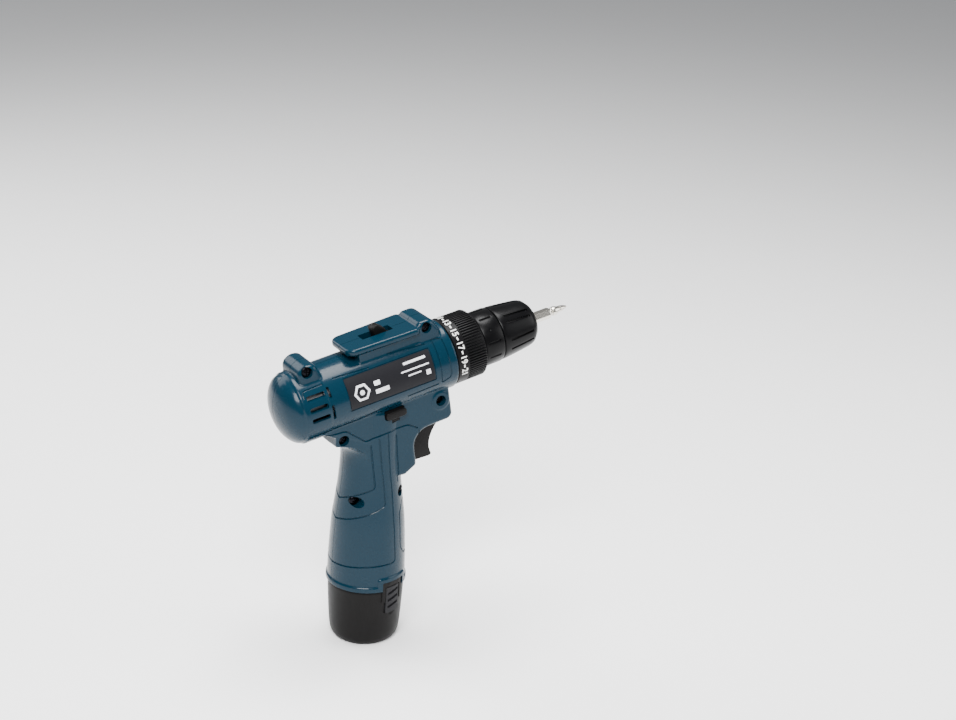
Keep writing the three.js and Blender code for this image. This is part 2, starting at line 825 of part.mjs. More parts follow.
function switchBody() {
  const body = solid(block([-19.5, 2], [-8.6, 8.6], [-59, -30]));
  const hole = solid(rod(2.4, plungerX[0] - triggerTravel - 2, 8).translate(0, 0, plungerZ));
  return part("trigger_switch", surface(body.subtract(hole)), blackPlastic);
}

function triggerSpring() {
  const spring = coilSpring("trigger_spring", 3.6, 0.45, 2.3, 8.3, 4);
  spring.geometry.translate(0, 0, plungerZ);
  return spring;
}

function directionSelector() {
  const endDepth = 5;
  const shape = roundedOutline([
    [selectorX[0], selectorZ[0], 1.6],
    [selectorX[1], selectorZ[0], 1.6],
    [selectorX[1], selectorZ[1], 1.6],
    [selectorX[0], selectorZ[1], 1.6],
  ]);
  const ends = [-1, 1].map((side) => {
    const cap = sidePlate(shape, endDepth / 2).translate(0, side * (selectorReach - endDepth / 2), 0);
    return solid(cap);
  });
  const legs = [-1, 1].map((side) => {
    const inner = selectorReach - endDepth;
    const y = side < 0 ? [-inner - 1.6, -inner] : [inner, inner + 1.6];
    return solid(block(selectorBarX, y, [selectorBarZ[0], selectorZ[0] + 1]));
  });
  const barHalf = selectorReach - endDepth;
  const bar = solid(block(selectorBarX, [-barHalf, barHalf], selectorBarZ));
  return part("direction_selector", surface(joinAll([...ends, ...legs, bar])), warmBlackPlastic);
}

function workLightLens() {
  const { x, z, radius } = lensPlace;
  return part("work_light_lens", turned([
    [0, x - 5],
    [radius, x - 5],
    [radius, x + 2.2],
    [radius - 1.2, x + 4.6],
    [0, x + 5.2],
  ], "x", 20).translate(0, 0, z), clearLens);
}

// Battery
function batteryOuter() {
  const top = batteryTopRadius;
  return turned([
    [0, 0],
    [batteryFootRadius, 0],
    [batteryFootRadius + 2.2, 0.9],
    [top * 0.905, batteryHeight * 0.1],
    [top * 0.94, batteryHeight * 0.32],
    [top * 0.982, batteryHeight * 0.68],
    [top, batteryHeight],
    [0, batteryHeight],
  ], "z", 40);
}

function batteryBase() {
  const half = tabWidth / 2;
  const tab = block([stemRadius + restGap, batteryTopRadius + 0.5], [-half, half], [
    batteryHeight - 6,
    batteryHeight + tabHeight,
  ]);
  const pocketHalf = buttonWidth / 2 + slideGap;
  const pocketTop = buttonFloor + buttonHeight + 2 * slideGap;
  const pocketBack = batteryTopRadius - buttonThickness - buttonTravel - 0.2;
  const pocket = block([pocketBack, 40], [-pocketHalf, pocketHalf], [buttonFloor, pocketTop]);
  const sides = [-1, 1].map(buttonFrame);
  const cellBay = solid(rod(cellSpace, 2.4, batteryHeight + 20, "z", 32));
  const body = joinAll([solid(batteryOuter()), ...sides.map((frame) => solid(tab, frame))]);
  const pockets = sides.map((frame) => solid(pocket, frame));
  return part("battery_base", surface(cutAll(body, [cellBay, ...pockets])), warmBlackPlastic);
}

function batteryStem() {
  const start = batteryHeight + restGap;
  const outer = turned([
    [0, start],
    [stemRadius, start],
    [stemRadius, stemTop - 2],
    [stemRadius - 2, stemTop],
    [0, stemTop],
  ], "z", 32);
  const inner = rod(cellSpace, start - 1, stemTop - 2, "z", 32);
  const slots = bladePlaces.map((y) => solid(block([-4.6, 4.6], [y - 0.9, y + 0.9], [0, stemTop + 1])));
  const stem = cutAll(solid(outer).subtract(solid(inner)), slots);
  return part("battery_stem", surface(stem), warmBlackPlastic);
}

const bladePlaces = [-6, 0, 6];

function terminalBlock() {
  const body = solid(block([-7, 7], [-9, 9], [stemTop + 3, stemTop + 9]));
  const bladeZ = [stemTop - 1.6, stemTop + 4];
  const blades = bladePlaces.map((y) => solid(block([-4, 4], [y - 0.5, y + 0.5], bladeZ)));
  return part("terminal_block", surface(joinAll([body, ...blades])), copper);
}

function cell(name, index) {
  const angle = Math.PI / 2 + (index * 2 * Math.PI) / 3;
  const geometry = rod(cellRadius, 3, 3 + cellLength, "z", 24);
  geometry.translate(cellOrbit * Math.cos(angle), cellOrbit * Math.sin(angle), 0);
  return part(name, geometry, cellWrap);
}

function circuitBoard() {
  const start = 3 + cellLength + 1;
  return part("battery_circuit_board", rod(cellSpace - 1, start, start + 1.6, "z", 24), boardGreen);
}

function releaseButton(name, side) {
  const outer = batteryTopRadius - 0.1;
  const half = buttonWidth / 2;
  const inner = outer - buttonThickness;
  const z = [buttonFloor + slideGap, buttonFloor + slideGap + buttonHeight];
  const plate = solid(block([inner, outer], [-half, half], z));
  const ridges = [0.22, 0.5, 0.78].map((share) => {
    const middle = z[0] + share * buttonHeight;
    return solid(block([outer - 0.5, outer + 0.9], [-half + 1, half - 1], [middle - 1, middle + 1]));
  });
  return part(name, surface(joinAll([plate, ...ridges])).applyMatrix4(buttonFrame(side)), greyPlastic);
}

function stageGears(prefix, start) {
  return [0, 1, 2].map((index) => planetGear(prefix + (index + 1), index, start));
}

const drill = new THREE.Group();

const barrel = new THREE.Group();
barrel.position.z = spindleHeight;
barrel.rotation.y = -barrelRake;
barrel.add(
  namePlate(),
  ...screwPlaces.map(housingScrew),
  motorCan(),
  motorEndCap(),
  armature(),
  pinion(),
  slottedGearbox(),
  ringGear("first_ring_gear", firstStageStart - 0.4, gearFace + 0.8),
  ringGear("second_ring_gear", secondStageStart - 0.4, gearFace + 0.8),
  ...stageGears("first_planet_", firstStageStart),
  ...stageGears("second_planet_", secondStageStart),
  firstCarrier(),
  spindle(),
  bearing("rear_bearing", caseFront - 2),
  bearing("front_bearing", noseFront - bearingLength - 1),
  torqueRing(),
  ...clutchParts(),
  chuckBody(),
  chuckRearSleeve(),
  chuckFrontSleeve(),
  ...jawAngles.map((angle, index) => jaw("chuck_jaw_" + (index + 1), angle)),
  screwBit(),
  speedSlider(),
  shiftFork(),
  trigger(),
  triggerPlunger(),
  triggerSpring(),
  switchBody(),
  directionSelector(),
  workLightLens(),
);

drill.add(
  barrel,
  ...housingHalves(),
  terminalBlock(),
  batteryBase(),
  batteryStem(),
  ...[1, 2, 3].map((number) => cell("battery_cell_" + number, number)),
  circuitBoard(),
  releaseButton("release_button_right", -1),
  releaseButton("release_button_left", 1),
);

export default drill;
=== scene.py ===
# Looks for the cordless drill: moulded housing, chuck, torque ring, controls and battery.
# Sizes in the settings are in millimetres; meshes are in metres.
import bpy
import json
import math
from mathutils import Matrix, Vector


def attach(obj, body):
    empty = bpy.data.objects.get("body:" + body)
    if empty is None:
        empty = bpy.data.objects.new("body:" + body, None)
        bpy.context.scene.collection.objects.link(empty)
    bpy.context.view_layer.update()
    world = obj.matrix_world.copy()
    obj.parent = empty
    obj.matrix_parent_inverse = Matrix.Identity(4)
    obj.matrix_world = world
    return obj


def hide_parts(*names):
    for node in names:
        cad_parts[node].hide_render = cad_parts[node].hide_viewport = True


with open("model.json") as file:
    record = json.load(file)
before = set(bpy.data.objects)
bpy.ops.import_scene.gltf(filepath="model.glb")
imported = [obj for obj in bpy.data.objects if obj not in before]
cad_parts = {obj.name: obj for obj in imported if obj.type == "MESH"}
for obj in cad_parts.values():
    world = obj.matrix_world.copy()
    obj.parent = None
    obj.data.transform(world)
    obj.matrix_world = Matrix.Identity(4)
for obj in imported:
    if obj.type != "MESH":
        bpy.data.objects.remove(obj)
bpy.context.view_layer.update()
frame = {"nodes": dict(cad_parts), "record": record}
print("frame loaded with", len(frame["nodes"]), "nodes")

mm = 0.001
jointsByName = {joint["name"]: joint for joint in frame["record"]["behaviour"]["joints"]}
spinJoint = jointsByName["motor_spin"]
barrelRake = math.atan2(spinJoint["axis"][2], spinJoint["axis"][0])
barrelPlace = Matrix.Translation(spinJoint["pos_m"]) @ Matrix.Rotation(-barrelRake, 4, "Y")


# helpers for modelling
def turnBy(degrees, axis):
    return Matrix.Rotation(math.radians(degrees), 4, axis)


def moveBy(x, y, z):
    return Matrix.Translation((x * mm, y * mm, z * mm))


def clearSelection():
    if bpy.context.object and bpy.context.object.mode != "OBJECT":
        bpy.ops.object.mode_set(mode="OBJECT")
    bpy.ops.object.select_all(action="DESELECT")


def activate(piece):
    clearSelection()
    piece.select_set(True)
    bpy.context.view_layer.objects.active = piece


def applyPlace(piece, place=None):
    if place is not None:
        piece.matrix_world = place @ piece.matrix_world
        bpy.context.view_layer.update()
    activate(piece)
    bpy.ops.object.transform_apply(location=True, rotation=True, scale=True)
    return piece


def inEditMode(piece, action):
    activate(piece)
    bpy.ops.object.mode_set(mode="EDIT")
    bpy.ops.mesh.select_all(action="SELECT")
    action()
    bpy.ops.object.mode_set(mode="OBJECT")


def weldAndFaceOut():
    bpy.ops.mesh.remove_doubles(threshold=1e-6)
    bpy.ops.mesh.normals_make_consistent(inside=False)


def applyModifier(piece, kind, **values):
    modifier = piece.modifiers.new(kind.lower(), kind)
    for name, value in values.items():
        setattr(modifier, name, value)
    activate(piece)
    bpy.ops.object.modifier_apply(modifier=modifier.name)
    return piece


def smoothRun(points, cuts=5):
    # a curve through the points, with corners only where runs meet
    run = []
    for i in range(len(points) - 1):
        before = Vector(points[max(i - 1, 0)])
        here = Vector(points[i])
        after = Vector(points[i + 1])
        beyond = Vector(points[min(i + 2, len(points) - 1)])
        for k in range(cuts):
            t = k / cuts
            run.append(tuple(0.5 * (2 * here + (after - before) * t
                                    + (2 * before - 5 * here + 4 * after - beyond) * t ** 2
                                    + (3 * here - before - 3 * after + beyond) * t ** 3)))
    return run + [tuple(points[-1])]


def roundedCorners(corners, cuts=6):
    # each corner is (x, z, radius), and the radius is swept as an arc
    outline = []
    for i, (x, z, radius) in enumerate(corners):
        here = Vector((x, z))
        before = (Vector(corners[i - 1][:2]) - here).normalized()
        after = (Vector(corners[(i + 1) % len(corners)][:2]) - here).normalized()
        if radius == 0:
            outline.append((x, z))
            continue
        half = before.angle(after) / 2
        reach = radius / math.tan(half)
        middle = here + (before + after).normalized() * (radius / math.sin(half))
        start = here + before * reach - middle
        turn = (after * reach + here - middle).angle_signed(start)
        for k in range(cuts + 1):
            spoke = start.copy()
            spoke.rotate(Matrix.Rotation(turn * k / cuts, 2))
            outline.append(tuple(middle + spoke))
    return outline


def outlineRing(name, points, fill="NOTHING"):
    # a ring of vertices laid along the outline
    bpy.ops.mesh.primitive_circle_add(vertices=len(points), radius=mm, fill_type=fill)
    ring = bpy.context.object
    ring.name = name
    for vertex, place in zip(ring.data.vertices, points):
        vertex.co = Vector(place) * mm
    return ring


def spun(name, profile, axis="X", steps=96, closed=False):
    # a (radius, along) profile spun about the barrel's X axis or the handle's Z axis
    if axis == "X":
        points = [(along, 0, radius) for radius, along in profile]
    else:
        points = [(radius, 0, along) for radius, along in profile]
    piece = outlineRing(name, points)
    if not closed:
        first, last = 0, len(points) - 1
        for edge in piece.data.edges:
            edge.select = set(edge.vertices) == {first, last}
        for vertex in piece.data.vertices:
            vertex.select = vertex.index in (first, last)
        activate(piece)
        bpy.ops.object.mode_set(mode="EDIT")
        bpy.ops.mesh.select_mode(type="EDGE")
        bpy.ops.mesh.delete(type="EDGE_FACE")
        bpy.ops.mesh.select_mode(type="VERT")
        bpy.ops.object.mode_set(mode="OBJECT")
    spinAxis = (1, 0, 0) if axis == "X" else (0, 0, 1)

    def turnRound():
        bpy.ops.mesh.spin(steps=steps, angle=2 * math.pi, center=(0, 0, 0), axis=spinAxis)
        bpy.ops.mesh.select_all(action="SELECT")
        weldAndFaceOut()
    inEditMode(piece, turnRound)
    return piece


def plate(name, outline, halfWidth, rounding=0, segments=4):
    # an (x, z) outline made thick along Y, with rounded rims
    piece = outlineRing(name, [(x, -halfWidth, z) for x, z in outline], fill="NGON")

    def thicken():
        move = {"value": (0, 2 * halfWidth * mm, 0)}
        bpy.ops.mesh.extrude_region_move(TRANSFORM_OT_translate=move)
        bpy.ops.mesh.select_all(action="SELECT")
        weldAndFaceOut()
    inEditMode(piece, thicken)
    if rounding:
        applyModifier(piece, "BEVEL", width=rounding * mm, segments=segments, limit_method="ANGLE",
                      angle_limit=math.radians(50))
    return piece


def tablet(name, outline, low, high, rounding=0, segments=3):
    # an (x, y) outline made thick along Z
    piece = plate(name, outline, (high - low) / 2, rounding, segments)
    lie = Matrix.Translation((0, 0, (low + high) / 2 * mm)) @ Matrix.Rotation(math.pi / 2, 4, "X")
    return applyPlace(piece, lie)


def block(name, x, y, z, rounding=0, segments=3):
    middle = [(low + high) / 2 * mm for low, high in (x, y, z)]
    size = [(high - low) * mm for low, high in (x, y, z)]
    bpy.ops.mesh.primitive_cube_add(size=1, location=middle)
    piece = bpy.context.object
    piece.name = name
    piece.scale = size
    applyPlace(piece)
    if rounding:
        applyModifier(piece, "BEVEL", width=rounding * mm, segments=segments, limit_method="NONE")
    return piece


def rod(name, radius, start, end, axis="X", at=(0, 0), sides=48, rounding=0):
    # a cylinder along X, Y or Z; "at" is its place in the other two directions
    middle = (start + end) / 2
    place = {"X": (middle, at[0], at[1]), "Y": (at[0], middle, at[1]), "Z": (at[0], at[1], middle)}[axis]
    turn = {"X": (0, math.pi / 2, 0), "Y": (math.pi / 2, 0, 0), "Z": (0, 0, 0)}[axis]
    bpy.ops.mesh.primitive_cylinder_add(vertices=sides, radius=radius * mm, depth=(end - start) * mm,
                                        location=[value * mm for value in place], rotation=turn)
    piece = bpy.context.object
    piece.name = name
    applyPlace(piece)
    if rounding:
        applyModifier(piece, "BEVEL", width=rounding * mm, segments=3, limit_method="ANGLE",
                      angle_limit=math.radians(50))
    return piece


def sweptTube(name, points, radius, loop=False, sides=5):
    # a round bar along points that are already in metres
    curve = bpy.data.curves.new(name, "CURVE")
    curve.dimensions = "3D"
    curve.bevel_depth = radius * mm
    curve.bevel_resolution = sides - 3
    curve.use_fill_caps = not loop
    spline = curve.splines.new("POLY")
    spline.points.add(len(points) - 1)
    for point, place in zip(spline.points, points):
        point.co = (*place, 1)
    spline.use_cyclic_u = loop
    piece = bpy.data.objects.new(name, curve)
    bpy.context.collection.objects.link(piece)
    activate(piece)
    bpy.ops.object.convert(target="MESH")
    piece = bpy.context.object
    inEditMode(piece, weldAndFaceOut)
    return piece


def joined(name, pieces):
    clearSelection()
    for piece in pieces:
        piece.select_set(True)
    bpy.context.view_layer.objects.active = pieces[0]
    if len(pieces) > 1:
        bpy.ops.object.join()
    pieces[0].name = name
    return pieces[0]


def duplicate(piece, name):
    twin = piece.copy()
    twin.data = piece.data.copy()
    twin.name = name
    bpy.context.collection.objects.link(twin)
    return twin


def mirrored(piece, name):
    twin = duplicate(piece, name)
    applyPlace(twin, Matrix.Scale(-1, 4, (0, 1, 0)))
    inEditMode(twin, weldAndFaceOut)
    return twin


def boolean(piece, tool, operation="DIFFERENCE", keepTool=False):
    before = len(piece.data.polygons)
    applyModifier(piece, "BOOLEAN", object=tool, operation=operation, solver="MANIFOLD")
    after = len(piece.data.polygons)
    if after == 0 or (after == before and operation == "DIFFERENCE"):
        print("  check", piece.name, operation.lower(), tool.name, before, after)
    if not keepTool:
        bpy.data.objects.remove(tool)
    return piece


def cut(piece, *tools):
    for tool in tools:
        boolean(piece, tool)
    return piece


def shadeByAngle(piece, degrees=35):
    activate(piece)
    bpy.ops.object.shade_smooth_by_angle(angle=math.radians(degrees))
    return piece


# shader groups shared by the materials
def newGroup(name, inputs, outputs):
    group = bpy.data.node_groups.new(name, "ShaderNodeTree")
    for label, kind, default in inputs:
        socket = group.interface.new_socket(name=label, in_out="INPUT", socket_type=kind)
        socket.default_value = default
    for label, kind in outputs:
        group.interface.new_socket(name=label, in_out="OUTPUT", socket_type=kind)
    return group, group.nodes.new("NodeGroupInput"), group.nodes.new("NodeGroupOutput")


def addMath(nodes, links, operation, first, second):
    node = nodes.new("ShaderNodeMath")
    node.operation = operation
    for socket, value in zip(node.inputs, (first, second)):
        if isinstance(value, (int, float)):
            socket.default_value = value
        else:
            links.new(value, socket)
    return node.outputs[0]


def addMix(nodes, links, factor, first, second):
    node = nodes.new("ShaderNodeMix")
    node.data_type = "RGBA"
    for socket, value in ((node.inputs[0], factor), (node.inputs[6], first), (node.inputs[7], second)):
        if isinstance(value, (int, float, tuple)):
            socket.default_value = value
        else:
            links.new(value, socket)
    return node.outputs[2]


def addNoise(nodes, links, place, scale, detail):
    noise = nodes.new("ShaderNodeTexNoise")
    noise.inputs["Scale"].default_value = scale
    noise.inputs["Detail"].default_value = detail
    links.new(place, noise.inputs["Vector"])
    return noise


def buildMouldedGrain():
    # fine spark-eroded texture of moulded plastic, with slow colour drift and scuffs
    group, inside, outside = newGroup("mouldedGrain", [
        ("Colour", "NodeSocketColor", (0.5, 0.5, 0.5, 1)),
        ("Grain Size", "NodeSocketFloat", 2500.0),
        ("Drift", "NodeSocketFloat", 0.08),
        ("Roughness", "NodeSocketFloat", 0.4),
        ("Roughness Spread", "NodeSocketFloat", 0.08),
    ], [("Colour", "NodeSocketColor"), ("Roughness", "NodeSocketFloat"), ("Height", "NodeSocketFloat")])
    nodes, links = group.nodes, group.links
    place = nodes.new("ShaderNodeTexCoord").outputs["Object"]
    grain = addNoise(nodes, links, place, 1, 3)
    links.new(inside.outputs["Grain Size"], grain.inputs["Scale"])
    drift = addNoise(nodes, links, place, 38, 4)
    scuff = addNoise(nodes, links, place, 210, 6)
    shift = addMath(nodes, links, "SUBTRACT", drift.outputs["Fac"], 0.5)
    shift = addMath(nodes, links, "MULTIPLY", shift, inside.outputs["Drift"])
    value = nodes.new("ShaderNodeHueSaturation")
    links.new(addMath(nodes, links, "ADD", shift, 1.0), value.inputs["Value"])
    links.new(inside.outputs["Colour"], value.inputs["Color"])
    spread = addMath(nodes, links, "SUBTRACT", scuff.outputs["Fac"], 0.5)
    spread = addMath(nodes, links, "MULTIPLY", spread, inside.outputs["Roughness Spread"])
    rough = addMath(nodes, links, "ADD", inside.outputs["Roughness"], spread)
    links.new(value.outputs["Color"], outside.inputs["Colour"])
    links.new(rough, outside.inputs["Roughness"])
    links.new(grain.outputs["Fac"], outside.inputs["Height"])
    return group


def buildEdgeWear():
    # paler where an edge is exposed, broken up by noise: a painted edge highlight that also stands for light
    # wear
    group, inside, outside = newGroup("edgeSheenAndWear", [
        ("Colour", "NodeSocketColor", (0.5, 0.5, 0.5, 1)),
        ("Worn Colour", "NodeSocketColor", (0.7, 0.7, 0.7, 1)),
        ("Amount", "NodeSocketFloat", 0.3),
    ], [("Colour", "NodeSocketColor"), ("Mask", "NodeSocketFloat")])
    nodes, links = group.nodes, group.links
    point = nodes.new("ShaderNodeNewGeometry").outputs["Pointiness"]
    edge = nodes.new("ShaderNodeMapRange")
    edge.inputs["From Min"].default_value = 0.52
    edge.inputs["From Max"].default_value = 0.62
    links.new(point, edge.inputs["Value"])
    noise = addNoise(nodes, links, nodes.new("ShaderNodeTexCoord").outputs["Object"], 260, 5)
    mask = addMath(nodes, links, "MULTIPLY", edge.outputs["Result"], noise.outputs["Fac"])
    mask = addMath(nodes, links, "MULTIPLY", mask, inside.outputs["Amount"])
    colour = addMix(nodes, links, mask, inside.outputs["Colour"], inside.outputs["Worn Colour"])
    links.new(colour, outside.inputs["Colour"])
    links.new(mask, outside.inputs["Mask"])
    return group


def buildMachining():
    # fine turning or drawing lines along one direction, for metals
    group, inside, outside = newGroup("machining", [
        ("Colour", "NodeSocketColor", (0.6, 0.6, 0.6, 1)),
        ("Stretch", "NodeSocketVector", (3000, 60, 60)),
        ("Roughness", "NodeSocketFloat", 0.3),
        ("Roughness Spread", "NodeSocketFloat", 0.15),
    ], [("Colour", "NodeSocketColor"), ("Roughness", "NodeSocketFloat"), ("Height", "NodeSocketFloat")])
    nodes, links = group.nodes, group.links
    place = nodes.new("ShaderNodeTexCoord").outputs["Object"]
    turn = nodes.new("ShaderNodeMapping")
    turn.inputs["Rotation"].default_value = (0, barrelRake, 0)
    links.new(place, turn.inputs["Vector"])
    stretch = nodes.new("ShaderNodeVectorMath")
    stretch.operation = "MULTIPLY"
    links.new(turn.outputs["Vector"], stretch.inputs[0])
    links.new(inside.outputs["Stretch"], stretch.inputs[1])
    lines = addNoise(nodes, links, stretch.outputs["Vector"], 1, 4)
    spread = addMath(nodes, links, "SUBTRACT", lines.outputs["Fac"], 0.5)
    rough = addMath(nodes, links, "MULTIPLY", spread, inside.outputs["Roughness Spread"])
    rough = addMath(nodes, links, "ADD", rough, inside.outputs["Roughness"])
    tone = addMath(nodes, links, "ADD", addMath(nodes, links, "MULTIPLY", spread, 0.25), 1.0)
    value = nodes.new("ShaderNodeHueSaturation")
    links.new(tone, value.inputs["Value"])
    links.new(inside.outputs["Colour"], value.inputs["Color"])
    links.new(value.outputs["Color"], outside.inputs["Colour"])
    links.new(rough, outside.inputs["Roughness"])
    links.new(lines.outputs["Fac"], outside.inputs["Height"])
    return group


mouldedGrain = buildMouldedGrain()
edgeSheenAndWear = buildEdgeWear()
machining = buildMachining()


def linear(red, green, blue):
    def channel(value):
        value /= 255
        return value / 12.92 if value <= 0.04045 else ((value + 0.055) / 1.055) ** 2.4
    return (channel(red), channel(green), channel(blue), 1)


def startMaterial(name):
    material = bpy.data.materials.new(name)
    material.use_nodes = True
    tree = material.node_tree
    return material, tree.nodes, tree.links, tree.nodes["Principled BSDF"]


def placeGroup(nodes, group, **values):
    node = nodes.new("ShaderNodeGroup")
    node.node_tree = group
    for name, value in values.items():
        node.inputs[name.replace("_", " ")].default_value = value
    return node


def addBump(nodes, links, height, shader, depth):
    bump = nodes.new("ShaderNodeBump")
    bump.inputs["Strength"].default_value = 0.6
    bump.inputs["Distance"].default_value = depth * mm
    links.new(height, bump.inputs["Height"])
    links.new(bump.outputs["Normal"], shader.inputs["Normal"])


# paler edges here are a painted highlight on the edges, with some wear
def wearEdges(nodes, links, shader, grain, paler, sheenAndWearAmount, depth):
    edges = placeGroup(nodes, edgeSheenAndWear, Worn_Colour=paler + (1,), Amount=sheenAndWearAmount)
    links.new(grain.outputs["Colour"], edges.inputs["Colour"])
    links.new(edges.outputs["Colour"], shader.inputs["Base Color"])
    links.new(grain.outputs["Roughness"], shader.inputs["Roughness"])
    addBump(nodes, links, grain.outputs["Height"], shader, depth)


def plastic(name, colour, roughness, grainSize, grainDepth, drift, spread, sheenAndWearAmount, coat=0.0, gloss=0.09):
    colour = linear(*colour)
    material, nodes, links, shader = startMaterial(name)
    grain = placeGroup(nodes, mouldedGrain, Colour=colour, Grain_Size=grainSize, Drift=drift,
                       Roughness=roughness, Roughness_Spread=spread)
    paler = tuple(min(1, channel * 1.5 + 0.006) for channel in colour[:3])
    wearEdges(nodes, links, shader, grain, paler, sheenAndWearAmount, grainDepth)
    shader.inputs["Specular IOR Level"].default_value = gloss
    shader.inputs["Coat Weight"].default_value = coat
    shader.inputs["Coat Roughness"].default_value = 0.12
    return material


def metal(name, colour, roughness, stretch, spread, depth, sheenAndWearAmount):
    colour = linear(*colour)
    material, nodes, links, shader = startMaterial(name)
    lines = placeGroup(nodes, machining, Colour=colour, Stretch=stretch, Roughness=roughness,
                       Roughness_Spread=spread)
    paler = tuple(min(1, channel * 1.3 + 0.05) for channel in colour[:3])
    wearEdges(nodes, links, shader, lines, paler, sheenAndWearAmount, depth)
    shader.inputs["Metallic"].default_value = 1
    return material


# colour, roughness, grain size and depth, drift, spread, painted edge highlight and wear, coat, gloss
plastics = {
    "housingBlue": ((6, 33, 46), 0.27, 2200, 0.006, 0.1, 0.1, 0.02, 0.14, 0.08),
    "plateFoil": ((22, 22, 25), 0.45, 3200, 0.008, 0.2, 0.12, 0.1),
    "platePrint": ((215, 216, 220), 0.5, 3200, 0.006, 0.08, 0.1, 0.0),
    "ringBlack": ((8, 8, 9), 0.4, 2600, 0.014, 0.2, 0.14, 0.3),
    "chuckBlack": ((7, 7, 8), 0.3, 2400, 0.010, 0.2, 0.12, 0.2),
    "controlBlack": ((13, 12, 12), 0.44, 1900, 0.02, 0.2, 0.12, 0.3),
    "batteryBlack": ((14, 13, 13), 0.46, 1700, 0.03, 0.15, 0.12, 0.2),
    "buttonGrey": ((30, 30, 32), 0.5, 1800, 0.025, 0.15, 0.12, 0.3),
    "innerBlack": ((34, 34, 35), 0.6, 1500, 0.03, 0.15, 0.12, 0.2),
    "lampLens": ((24, 28, 32), 0.1, 900, 0.004, 0.1, 0.05, 0.1, 0.8),
    "cellWrap": ((60, 124, 86), 0.32, 700, 0.02, 0.12, 0.1, 0.1, 0.3),
    "boardGreen": ((30, 92, 52), 0.4, 900, 0.02, 0.3, 0.12, 0.1, 0.3),
    "digitWhite": ((226, 226, 222), 0.5, 2600, 0.01, 0.08, 0.1, 0.0),
}
# colour, roughness, stretch of the lines, spread, depth, painted edge highlight and wear
metals = {
    "screwBlack": ((20, 20, 24), 0.3, (1500, 1500, 1500), 0.2, 0.01, 0.4),
    "bitSteel": ((212, 208, 198), 0.22, (900, 900, 900), 0.1, 0.004, 0.2),
    "chuckSteel": ((96, 96, 98), 0.32, (2600, 90, 90), 0.2, 0.01, 0.4),
    "gearSteel": ((150, 150, 152), 0.36, (700, 700, 700), 0.2, 0.012, 0.4),
    # motor can steel is darker than bare steel: painted shade for the dark vent interiors
    "shadedMotorSteel": ((120, 120, 122), 0.33, (2600, 40, 40), 0.2, 0.006, 0.3),
    "copperWire": ((184, 108, 62), 0.34, (2200, 300, 300), 0.2, 0.03, 0.3),
    "contactMetal": ((196, 150, 96), 0.3, (900, 900, 900), 0.2, 0.006, 0.3),
}
finishes = {name: plastic(name, *values) for name, values in plastics.items()}
finishes.update({name: metal(name, *values) for name, values in metals.items()})
print("materials ready")

slotFinishes = {
    "housing_blue": "housingBlue", "label": "plateFoil", "screws": "screwBlack", "ring_black": "ringBlack",
    "chuck_black": "chuckBlack", "control_black": "controlBlack", "battery_black": "batteryBlack",
    "button_grey": "buttonGrey", "inner_plastic": "innerBlack", "lens": "lampLens", "bit_steel": "bitSteel",
    "chuck_steel": "chuckSteel", "gear_steel": "gearSteel", "motor_steel": "shadedMotorSteel",
    "windings": "copperWire", "contacts": "contactMetal", "cell_wrap": "cellWrap", "board": "boardGreen",
}


def dressCadNodes():
    for subpart in frame["record"]["subparts"]:
        node = frame["nodes"][subpart["node"]]
        material = finishes[slotFinishes[subpart["material_slot"]]]
        node.data.materials.clear()
        node.data.materials.append(material)


dressCadNodes()


def setFinish(piece, *names):
    piece.data.materials.clear()
    for name in names:
        piece.data.materials.append(finishes[name])


def finishPiece(piece, body, slot, nodes, smoothAngle=40):
    # a piece with one finish takes its slot's; a cut can leave an empty one
    if not any(piece.data.materials):
        setFinish(piece, slotFinishes[slot])
    shadeByAngle(piece, smoothAngle)
    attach(piece, body)
    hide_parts(*nodes)
    print("  made", piece.name, len(piece.data.polygons), "faces")


# camera, lights and floor
def buildStage():
    bpy.ops.mesh.primitive_plane_add(size=6, location=(0, 0, 0))
    floor = bpy.context.object
    floor.name = "studioFloor"
    material, nodes, links, shader = startMaterial("floorPaper")
    paper = placeGroup(nodes, mouldedGrain, Colour=(0.98, 0.98, 0.98, 1), Grain_Size=400.0, Drift=0.02,
                       Roughness=0.8, Roughness_Spread=0.05)
    links.new(paper.outputs["Colour"], shader.inputs["Base Color"])
    links.new(paper.outputs["Roughness"], shader.inputs["Roughness"])
    floor.data.materials.append(material)

    lights = {
        "keyLight": {"place": (-0.55, -0.75, 1.1), "size": 0.6, "power": 36},
        "topLight": {"place": (0.1, 0.1, 1.3), "size": 0.6, "power": 30},
        "sideLight": {"place": (0.95, -0.55, 0.6), "size": 0.7, "power": 8},
        "backLight": {"place": (-0.5, 0.9, 0.8), "size": 0.8, "power": 12},
    }
    aim = Vector((0, 0, 0.12))
    for name, light in lights.items():
        lamp = bpy.data.lights.new(name, "AREA")
        lamp.energy = light["power"]
        lamp.size = light["size"]
        holder = bpy.data.objects.new(name, lamp)
        bpy.context.collection.objects.link(holder)
        holder.location = light["place"]
        holder.rotation_euler = (aim - holder.location).to_track_quat("-Z", "Y").to_euler()

    world = bpy.data.worlds.new("studioWorld")
    bpy.context.scene.world = world
    world.use_nodes = True
    world.node_tree.nodes["Background"].inputs["Color"].default_value = (0.95, 0.97, 1, 1)
    world.node_tree.nodes["Background"].inputs["Strength"].default_value = 0.3


def buildCamera():
    settings = {"place": (-0.4490, -0.8156, 0.5429), "lens": 62.7, "sensor": 36,
                "right": (0.8525, -0.5194, 0.0593), "up": (0.1386, 0.3340, 0.9323)}
    right, up = Vector(settings["right"]), Vector(settings["up"])
    back = right.cross(up)
    camera = bpy.data.cameras.new("photoCamera")
    camera.lens = settings["lens"]
    camera.sensor_width = settings["sensor"]
    holder = bpy.data.objects.new("photoCamera", camera)
    bpy.context.collection.objects.link(holder)
    turn = Matrix((right, up, back)).transposed().to_4x4()
    holder.matrix_world = Matrix.Translation(settings["place"]) @ turn
    bpy.context.scene.camera = holder


buildStage()
buildCamera()
print("stage and camera ready")

